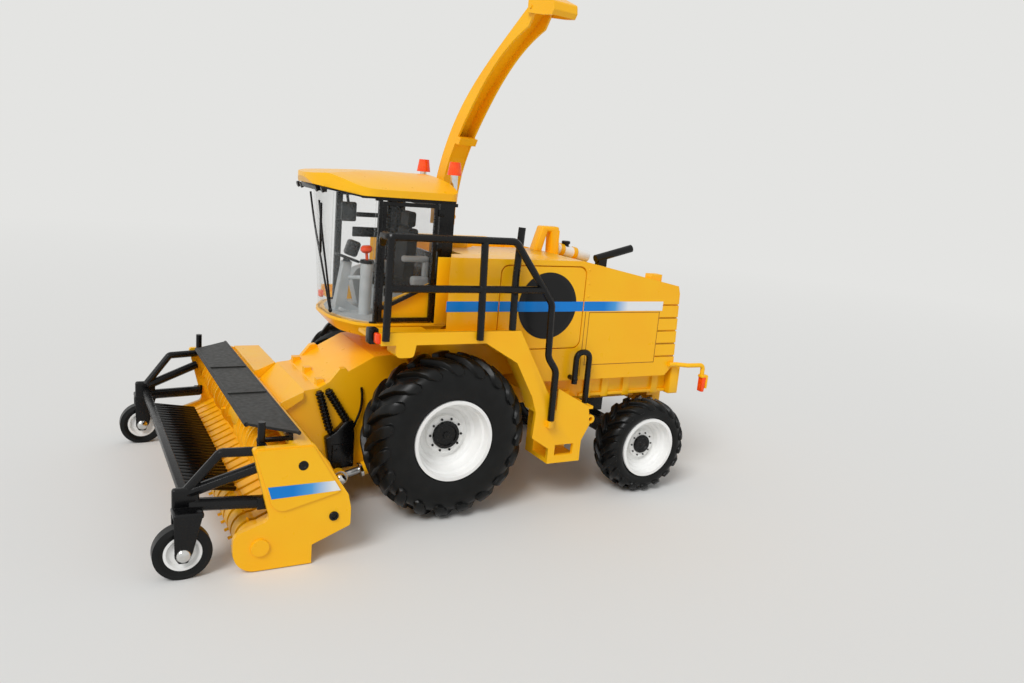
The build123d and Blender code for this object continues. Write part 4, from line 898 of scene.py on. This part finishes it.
def makeRails():
    r, y, front, top = rails["radius"], rails["y"], rails["front"], rails["top"]
    bm = bmesh.new()
    path = [(front - 0.5, y - 9, 94.2), (front + 0.6, y - 6, top), (front + 0.6, y, top)]
    path += [(x, y, z) for x, z in rails["end"]]
    tube(bm, bent(path, rails["bend"]), r)
    tube(bm, [(front, y, rails["middle"]), (rails["middleRear"], y, rails["middle"])], r)
    tube(bm, [(front, y, rails["foot"]), (front, y, top)], r)
    tube(bm, [(x, y, z) for x, z in rails["post"]], r)
    piece = endPiece(bm, "railing_tubes", "machine", black)
    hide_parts("railings")
    bm = bmesh.new()
    tube(bm, bent(rails["tall"], rails["tallBend"]), r)
    part = bmesh.new()
    h = hoop
    arch = [(h["front"], h["feet"][0]), (h["front"], h["waist"]), (h["front"], h["top"])]
    arch += [(h["rear"], h["top"]), (h["rear"], h["waist"]), (h["rear"], h["feet"][1])]
    tube(part, [(x, h["y"], z) for x, z in arch], h["radius"])
    rows = [(-4.0, 0), (-4.0, 0.9), (0.9, 0.9), (1.2, 0.5), (1.2, 0)]
    lathe(part, rows, (h["front"], h["y"], h["mount"]), steps=20)
    mirrored(part)
    addTo(bm, part)
    dome(bm, rails["stud"], 0.9, 0.8, (-1, 0.4, 0))
    piece = endPiece(bm, "grab_tubes", "machine", black)
    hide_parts("grab_rails")


makeRails()
print("rails made")


# Painted shade under the visor: a dark sheet that rises towards its front, and a dark strip along the top of each side
# under the roof's edge.
visor = {
    "outline": [(28.8, 25.4), (31.5, 24.6), (40.2, 9.0), (41.0, 0.0)], "foot": 29.0, "z": 107.75, "rise": 0.168,
    "thick": 0.5, "strip": (24.55, 25.6), "stripRear": -4.6, "stripHeight": 0.7,
}


def makeVisorShade():
    v = visor
    bm = bmesh.new()
    edge = v["outline"] + [(x, -y) for x, y in reversed(v["outline"][:-1])]
    addTo(bm, prism([(x, y, v["z"] + v["rise"] * (x - v["foot"])) for x, y in edge], (0, 0, -v["thick"])))
    for side in sides.values():
        y = sorted(side * d for d in v["strip"])
        roundBox(bm, (v["stripRear"], y[0], v["z"] - v["stripHeight"]), (v["foot"], y[1], v["z"]), 0.15)
    # Both are painted shade of the roof's overhang, in the black finish.
    endPiece(bm, "visor_painted_shade", "machine", black)


makeVisorShade()


# Cut-back cheeks of the engine housing beside the cab, and the yellow foot of the cab's rear post.
cheekCut = {
    "edge": 2.6, "side": 40.0, "inside": 29.0, "outside": 40.6, "front": 8.0, "slope": 0.47, "low": 64.0, "high": 91.5,
    "skin": ((-4.8, 24.4, 64.6), (0.3, 24.75, 88.4)),
}


def makeHousing():
    c = cheekCut
    inner = c["edge"] - (c["side"] - c["inside"]) * c["slope"]
    corners = [(c["edge"] + 0.3, c["outside"]), (c["front"], c["outside"])]
    corners += [(c["front"], c["inside"]), (inner, c["inside"])]
    cutter = prism([(x, y, c["low"]) for x, y in corners], (0, 0, c["high"] - c["low"]))
    cutCopy("engine_housing", "housing_shell", cutter, yellow)
    bm = bmesh.new()
    roundBox(bm, *c["skin"], 0.1)
    mirrored(bm)
    endPiece(bm, "post_skins", "machine", yellow)


makeHousing()
print("housing made")


# What is taken off the block under each platform, and the slim post in front of each door with glass beside it.
blockCut = {
    "outline": [
        (12.6, 55.0), (24.0, 55.0), (24.0, 62.0), (23.2, 61.0), (22.9, 59.6), (22.3, 59.0), (21.6, 58.7), (17.9, 58.7),
        (17.2, 58.9), (16.7, 59.6), (16.1, 62.79), (12.6, 62.79),
    ],
    "depth": (39.5, 48.6),
}
slimPost = {"front": 22.5, "glassFrom": 23.7, "low": 65.6, "high": 106.4, "cut": (22.0, 25.2), "glass": (23.6, 24.4)}


def makePlatforms():
    cutter = bmesh.new()
    plate(cutter, blockCut["outline"], *blockCut["depth"])
    cutCopy("platforms", "platform_shell", cutter, yellow)
    p = slimPost
    cutter = bmesh.new()
    low, high = p["cut"]
    roundBox(cutter, (p["front"], low, p["low"]), (p["glassFrom"], high, p["high"]), 0)
    cutCopy("cab_frame", "cab_frame_shell", cutter, black)
    bm = bmesh.new()
    low, high = p["glass"]
    roundBox(bm, (p["front"] - 0.1, low, p["low"]), (p["glassFrom"] - 0.1, high, p["high"]), 0)
    mirrored(bm)
    endPiece(bm, "screen_edges", "machine", glazing)


makePlatforms()
print("platforms and posts made")


# A-shaped rest for the spout on the hood.
spoutRest = {
    "outline": [
        (-46.6, 86.3), (-50.6, 99.6), (-58.3, 99.6), (-59.8, 84.4), (-55.4, 84.4), (-54.8, 97.6), (-53.2, 97.6),
        (-50.2, 86.3),
    ],
    "depth": (3.4, 8.1), "ledge": ((-58.4, 8.0, 88.0), (-57.8, 8.35, 98.2)),
}


def makeSpoutRest():
    bm = bmesh.new()
    plate(bm, spoutRest["outline"], *spoutRest["depth"], radius=0.7, segments=3)
    roundBox(bm, *spoutRest["ledge"], 0.1)
    piece = endPiece(bm, "spout_rest", "machine", yellow)
    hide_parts("spout_cradle")


makeSpoutRest()


# Straps, neck and cap of the round tank. "hood" is the height of the sloping hood at its x of -50.
tank = {"y": -3.0, "radius": 2.3, "hood": 90.3, "slope": 0.192, "straps": (-66.6, -73.0), "neck": -69.0}


def makeTankTrim():
    t = tank

    def middle(x):
        return t["hood"] + (x + 50) * t["slope"] + t["radius"] + 0.1

    bm = bmesh.new()
    for x in t["straps"]:
        band = [(-0.9, 2.2), (-0.9, 2.6), (0.9, 2.6), (0.9, 2.2), (-0.9, 2.2)]
        lathe(bm, band, (x, t["y"], middle(x)), (-1.0, 0, -t["slope"]), 32)
    endPiece(bm, "tank_straps", "machine", yellow)
    bm = bmesh.new()
    rows = [(0, 0), (0, 1.45), (3.2, 1.35), (3.3, 1.8), (4.2, 1.8), (4.5, 1.5), (4.5, 0)]
    lathe(bm, rows, (t["neck"], t["y"], middle(t["neck"]) - 0.3), (0, 0, 1), 28)
    endPiece(bm, "tank_filler", "machine", black)


makeTankTrim()
print("hood trim made")


# Frame side under the tail, and the rear weight plate, which is narrower between the steered tyres.
frameSide = {
    "rear": -97.4, "front": -34.0, "lipFront": -56.0, "inside": 35.4, "face": 37.2, "low": 38.4, "high": 46.2,
    "posts": (-58.0, -66.0, -76.0, -90.0), "post": 3.2,
    "plates": [
        ((-106.4, -31.0, 38.8), (-101.9, 31.0, 47.4), 0.5),
        ((-106.4, -24.0, 26.8), (-102.3, 24.0, 39.6), 0.5),
        ((-101.9, 31.0, 38.2), (-97.6, 39.4, 49.5), 0.4),
        ((-101.9, -39.4, 38.2), (-97.6, -31.0, 49.5), 0.4),
    ],
}


def makeFrameSide():
    f = frameSide
    rear, inside, face, low, high = f["rear"], f["inside"], f["face"], f["low"], f["high"]
    bm = bmesh.new()
    roundBox(bm, (rear, inside, low), (f["front"], face - 1.0, high), 0.15)
    roundBox(bm, (rear, inside, low), (f["lipFront"], face - 0.2, low + 1.3), 0.2)
    for x in f["posts"]:
        roundBox(bm, (x - f["post"], inside, low - 0.4), (x, face, high), 0.3)
    mirrored(bm)
    for corner, far, radius in f["plates"]:
        roundBox(bm, corner, far, radius)
    endPiece(bm, "frame_sides", "machine", yellow)


makeFrameSide()
print("frame sides made")


# Comb behind the guard bar.
comb = {
    "rods": 29, "pitch": 3.0, "radius": 0.82, "front": (86.0, 0, 20.5), "rear": (69.8, 0, 17.8),
    "bar": ((84.6, 19.8), (87.0, 21.6)),
}


def makeComb():
    c, r = comb, comb["radius"]
    bm = bmesh.new()
    start, end = Vector(c["front"]), Vector(c["rear"])
    run = end - start
    rows = [(0, 0), (0, r), (run.length - 0.5, r), (run.length - 0.1, r * 0.6), (run.length, 0)]
    for i in range(c["rods"]):
        y = (i - (c["rods"] - 1) / 2) * c["pitch"]
        lathe(bm, rows, start + Vector((0, y, 0)), run.normalized(), 10)
    half = (c["rods"] - 1) / 2 * c["pitch"] + 1
    (x0, z0), (x1, z1) = c["bar"]
    roundBox(bm, (x0, -half, z0), (x1, half, z1), 0.3)
    piece = endPiece(bm, "comb_rods", "header", polished, sharp=50)
    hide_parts("crop_comb")


makeComb()
print("comb made")


# Guard frame, and the forks of the gauge wheels. Each arm is its start, its bends, its end and its radius.
guard = {
    "barX": 86.5, "barZ": 22.6, "barHalf": 1.2, "y": 57.2, "plate": 61.0,
    "arms": [
        ((66.8, 35.9), [(77.4, 35.7)], (86.2, 24.6), 1.35),
        ((66.9, 31.2), [], (86.0, 24.0), 1.6),
        ((65.6, 20.2), [], (85.4, 20.4), 1.9),
    ],
    "bend": 1.6, "foot": ((64.4, 60.2, 18.4), (67.6, 61.0, 22.0)),
    "fork": [(-1.2, 5.6), (1.2, 5.6), (2.3, 7.4), (2.6, 19.6), (-5.2, 19.6), (-2.5, 8.4)],
    "forkSides": (-3.4, 2.6), "forkWall": 0.8,
}


def makeGuard():
    g = guard
    y, b = g["y"], g["barHalf"]
    bm = bmesh.new()
    for start, bends, end, size in g["arms"]:
        inside = g["plate"] - size + 0.1
        path = [(start[0], inside, start[1]), *[(x, y + 0.8, z) for x, z in bends], (end[0], y - 1, end[1])]
        tube(bm, bent(path, g["bend"]), size)
    roundBox(bm, *g["foot"], 0.2)
    x, middle = gaugeCap["x"], gaugeCap["y"]
    for out in g["forkSides"]:
        low = middle + out
        plate(bm, [(x + dx, z) for dx, z in g["fork"]], low, low + g["forkWall"], radius=0.35, segments=3)
    roundBox(bm, (x - 5.4, middle - 3.5, 18.4), (x + 2.7, middle + 3.5, 20.2), 0.6, 3)
    roundBox(bm, (x - 4.8, middle - 3.6, 19.6), (x + 2.5, middle - 1.4, 25.8), 0.8, 3)
    lathe(bm, [(-3.5, 0), (-3.5, 0.9), (3.5, 0.9), (3.5, 0)], (x, middle, gaugeCap["z"]), steps=20)
    mirrored(bm)
    half = middle - 3.2
    roundBox(bm, (g["barX"] - b, -half, g["barZ"] - b), (g["barX"] + b, half, g["barZ"] + b), 0.35)
    piece = endPiece(bm, "guard_tubes", "header", black)
    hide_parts("guard_frame")


makeGuard()
print("guard made")


# Drum and extra flights of the auger. "perTurn" is the number of steps in each turn of a flight.
drum = {
    "x": 57.0, "z": 26.0, "radius": 6.1, "bore": 2.6, "half": 60.3, "crest": 7.3, "pitch": 15.0, "starts": 3,
    "turns": 3.6, "perTurn": 28,
}


def makeDrum():
    d = drum
    half, r, bore, root, turns = d["half"], d["radius"], d["bore"], d["radius"] - 0.2, d["turns"]
    steps = int(d["perTurn"] * turns)
    rise = (0, 0, d["pitch"] * turns / steps)
    bm = bmesh.new()
    lathe(bm, [(-half, bore), (-half, r), (half, r), (half, bore)], (d["x"], 0, d["z"]))
    for start in range(d["starts"]):
        part = bmesh.new()
        section = ((root, 0, -0.45), (d["crest"], 0, -0.2), (d["crest"], 0, 0.2), (root, 0, 0.45))
        ring = [part.verts.new(p) for p in section]
        flat = part.faces.new(ring)
        bmesh.ops.spin(
            part, geom=[flat] + flat.edges[:] + ring, cent=(0, 0, 0), axis=(0, 0, 1), dvec=rise,
            angle=2 * pi * turns, steps=steps,
        )
        for turn in (tilted(360 * start / d["starts"], "Z"), tilted(-90, "X")):
            bmesh.ops.rotate(part, cent=(0, 0, 0), matrix=turn, verts=part.verts)
        bmesh.ops.translate(part, vec=(0, half - d["pitch"] * turns - 0.8, 0), verts=part.verts)
        mirrored(part)
        bmesh.ops.recalc_face_normals(part, faces=part.faces)
        addTo(bm, part, (d["x"], 0, d["z"]))
    endPiece(bm, "auger_drum", "auger", satinYellow)


makeDrum()
print("drum made")


# Lenses on the platforms (x, low and high on each side) and beside the tail, with the markers' holders and the case.
signals = {
    "left": (28.0, 63.2, 66.6), "right": (20.0, 61.9, 64.8), "frontY": (44.4, 47.4),
    "marker": [(-109.3, 45.7), (-111.3, 45.7), (-110.7, 39.6), (-109.3, 39.6)], "markerY": (42.3, 45.2),
    "holder": [((-111.9, 42.1, 41.0), (-111.0, 45.4, 46.4), 0.3), ((-111.9, 42.6, 45.4), (-108.6, 45.2, 46.6), 0.4)],
    "case": ((27.4, 39.8, 62.4), (30.6, 43.9, 67.6)),
}


def makeSignals():
    s = signals
    bm = bmesh.new()
    for word, side in sides.items():
        x, low, high = s[word]
        y = sorted(side * d for d in s["frontY"])
        roundBox(bm, (x - 0.2, y[0], low), (x + 1.5, y[1], high), 0.5, 3)
        y = sorted(side * d for d in s["markerY"])
        plate(bm, s["marker"], *y, radius=0.4, segments=3)
    piece = endPiece(bm, "signal_lens_caps", "machine", orange)
    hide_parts("signal_lenses")
    bm = bmesh.new()
    for low, high, radius in s["holder"]:
        roundBox(bm, low, high, radius)
    mirrored(bm)
    endPiece(bm, "marker_holders", "machine", yellow)
    bm = bmesh.new()
    roundBox(bm, *s["case"], 0.6, 3)
    piece = endPiece(bm, "signal_case", "machine", black)
    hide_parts("turn_lamps")


makeSignals()


workLamps = {"y": (-15.5, -9.6, 9.6, 15.5), "x": 40.4, "z": 108.4, "curve": 0.06, "droop": -0.35}
doorTrim = {
    "hinges": (91.5, 103.5), "hinge": ((-0.8, 24.3), (1.4, 25.0)), "hingeHalf": 1.2,
    "latch": ((17.4, 24.4, 74.6), (19.6, 25.3, 77.4)),
    "pull": [(18.5, 24.9, 77.0), (18.5, 25.8, 79.0), (18.5, 25.8, 83.0), (18.5, 24.5, 85.0)],
}


def makeLamps():
    w = workLamps
    bm = bmesh.new()
    rows = [(-0.8, 0), (-0.8, 0.95), (0.1, 1.1), (0.25, 0.9), (0.15, 0.0)]
    for y in w["y"]:
        lathe(bm, rows, (w["x"] - abs(y) * w["curve"], y, w["z"]), (1, 0, w["droop"]), 20)
    endPiece(bm, "work_lamps", "machine", black)


def makeDoorTrim():
    # Hinge knuckles at the door's rear post and the pull handle at its front.
    d = doorTrim
    (x0, y0), (x1, y1) = d["hinge"]
    bm = bmesh.new()
    for z in d["hinges"]:
        roundBox(bm, (x0, y0, z - d["hingeHalf"]), (x1, y1, z + d["hingeHalf"]), 0.25)
    endPiece(bm, "hinge_leaves", "machine", black)
    bm = bmesh.new()
    roundBox(bm, *d["latch"], 0.3)
    tube(bm, d["pull"], 0.35)
    endPiece(bm, "door_handle", "cab_door", black)


makeLamps()
makeDoorTrim()
print("lamps and trim made")


studio = {
    "floor": "#E4E4E2", "sky": "#E4E4E2", "floorRadius": 12.0, "fade": (0.25, 1.0), "fill": 0.55, "key": 1.7,
    "keyAngle": 24.0, "keyTurn": 128.0, "keyHeight": 44.0,
}


def makeFloor():
    # A matt disc that fades into the background's colour between two distances in metres.
    material = bpy.data.materials.new("studio_floor")
    material.use_nodes = True
    tree = material.node_tree
    tree.nodes.clear()
    near, away = studio["fade"]
    place = addNode(tree, "ShaderNodeTexCoord").outputs["Object"]
    far = addNode(tree, "ShaderNodeVectorMath", {"Vector": place}, operation="LENGTH")
    blend = addNode(tree, "ShaderNodeMapRange", {"Value": far.outputs["Value"]}, From_Min=near, From_Max=away)
    matt = addNode(tree, "ShaderNodeBsdfDiffuse", Color=linearColour(studio["floor"]))
    sky = addNode(tree, "ShaderNodeEmission", Color=linearColour(studio["sky"]))
    mix = addNode(tree, "ShaderNodeMixShader", {0: blend.outputs["Result"], 1: matt.outputs[0], 2: sky.outputs[0]})
    addNode(tree, "ShaderNodeOutputMaterial", {"Surface": mix.outputs[0]})
    bm = bmesh.new()
    bmesh.ops.create_circle(bm, cap_ends=True, segments=96, radius=studio["floorRadius"])
    floor = newObject(bm, "floor")
    floor.data.materials.append(material)


def makeWorld():
    # Soft fill on the object, and the pale background for what the camera, gloss and glass see.
    world = bpy.data.worlds.new("studio")
    scene.world = world
    world.use_nodes = True
    tree = world.node_tree
    tree.nodes.clear()
    ray = addNode(tree, "ShaderNodeLightPath").outputs
    direct = {0: ray["Is Camera Ray"], 1: ray["Is Glossy Ray"]}
    seen = addNode(tree, "ShaderNodeMath", direct, operation="MAXIMUM")
    through = {0: seen.outputs[0], 1: ray["Is Transmission Ray"]}
    seen = addNode(tree, "ShaderNodeMath", through, operation="MAXIMUM")
    fill = addNode(tree, "ShaderNodeBackground", Color=(1, 1, 1, 1), Strength=studio["fill"])
    sky = addNode(tree, "ShaderNodeBackground", Color=linearColour(studio["sky"]), Strength=1.0)
    mix = addNode(tree, "ShaderNodeMixShader", {0: seen.outputs[0], 1: fill.outputs[0], 2: sky.outputs[0]})
    addNode(tree, "ShaderNodeOutputWorld", {"Surface": mix.outputs[0]})


def makeKeyLight():
    light = bpy.data.lights.new("key", "SUN")
    light.energy = studio["key"]
    light.angle = radians(studio["keyAngle"])
    lamp = bpy.data.objects.new("key", light)
    scene.collection.objects.link(lamp)
    lamp.rotation_euler = (radians(90 - studio["keyHeight"]), 0, radians(studio["keyTurn"]))


camera = {"place": (117.61, 288.37, 121.18), "lens": 29.184, "heading": 150.442, "pitch": -11.841, "roll": 5.14}


def makeCamera():
    data = bpy.data.cameras.new("camera")
    data.sensor_width = 36.0
    data.lens = camera["lens"]
    data.clip_start = 0.01
    data.clip_end = 50.0
    eye = bpy.data.objects.new("camera", data)
    scene.collection.objects.link(eye)
    turn = Matrix.Rotation(radians(camera["heading"]), 4, "Z") @ Matrix.Rotation(radians(90 + camera["pitch"]), 4, "X")
    turn = turn @ Matrix.Rotation(radians(camera["roll"]), 4, "Z")
    x, y, z = camera["place"]
    eye.matrix_world = Matrix.Translation(Vector((x + frontAxleX, y, z)) * mm) @ turn
    scene.camera = eye


makeFloor()
makeWorld()
makeKeyLight()
makeCamera()
scene.view_settings.view_transform = "Standard"
print("studio made")
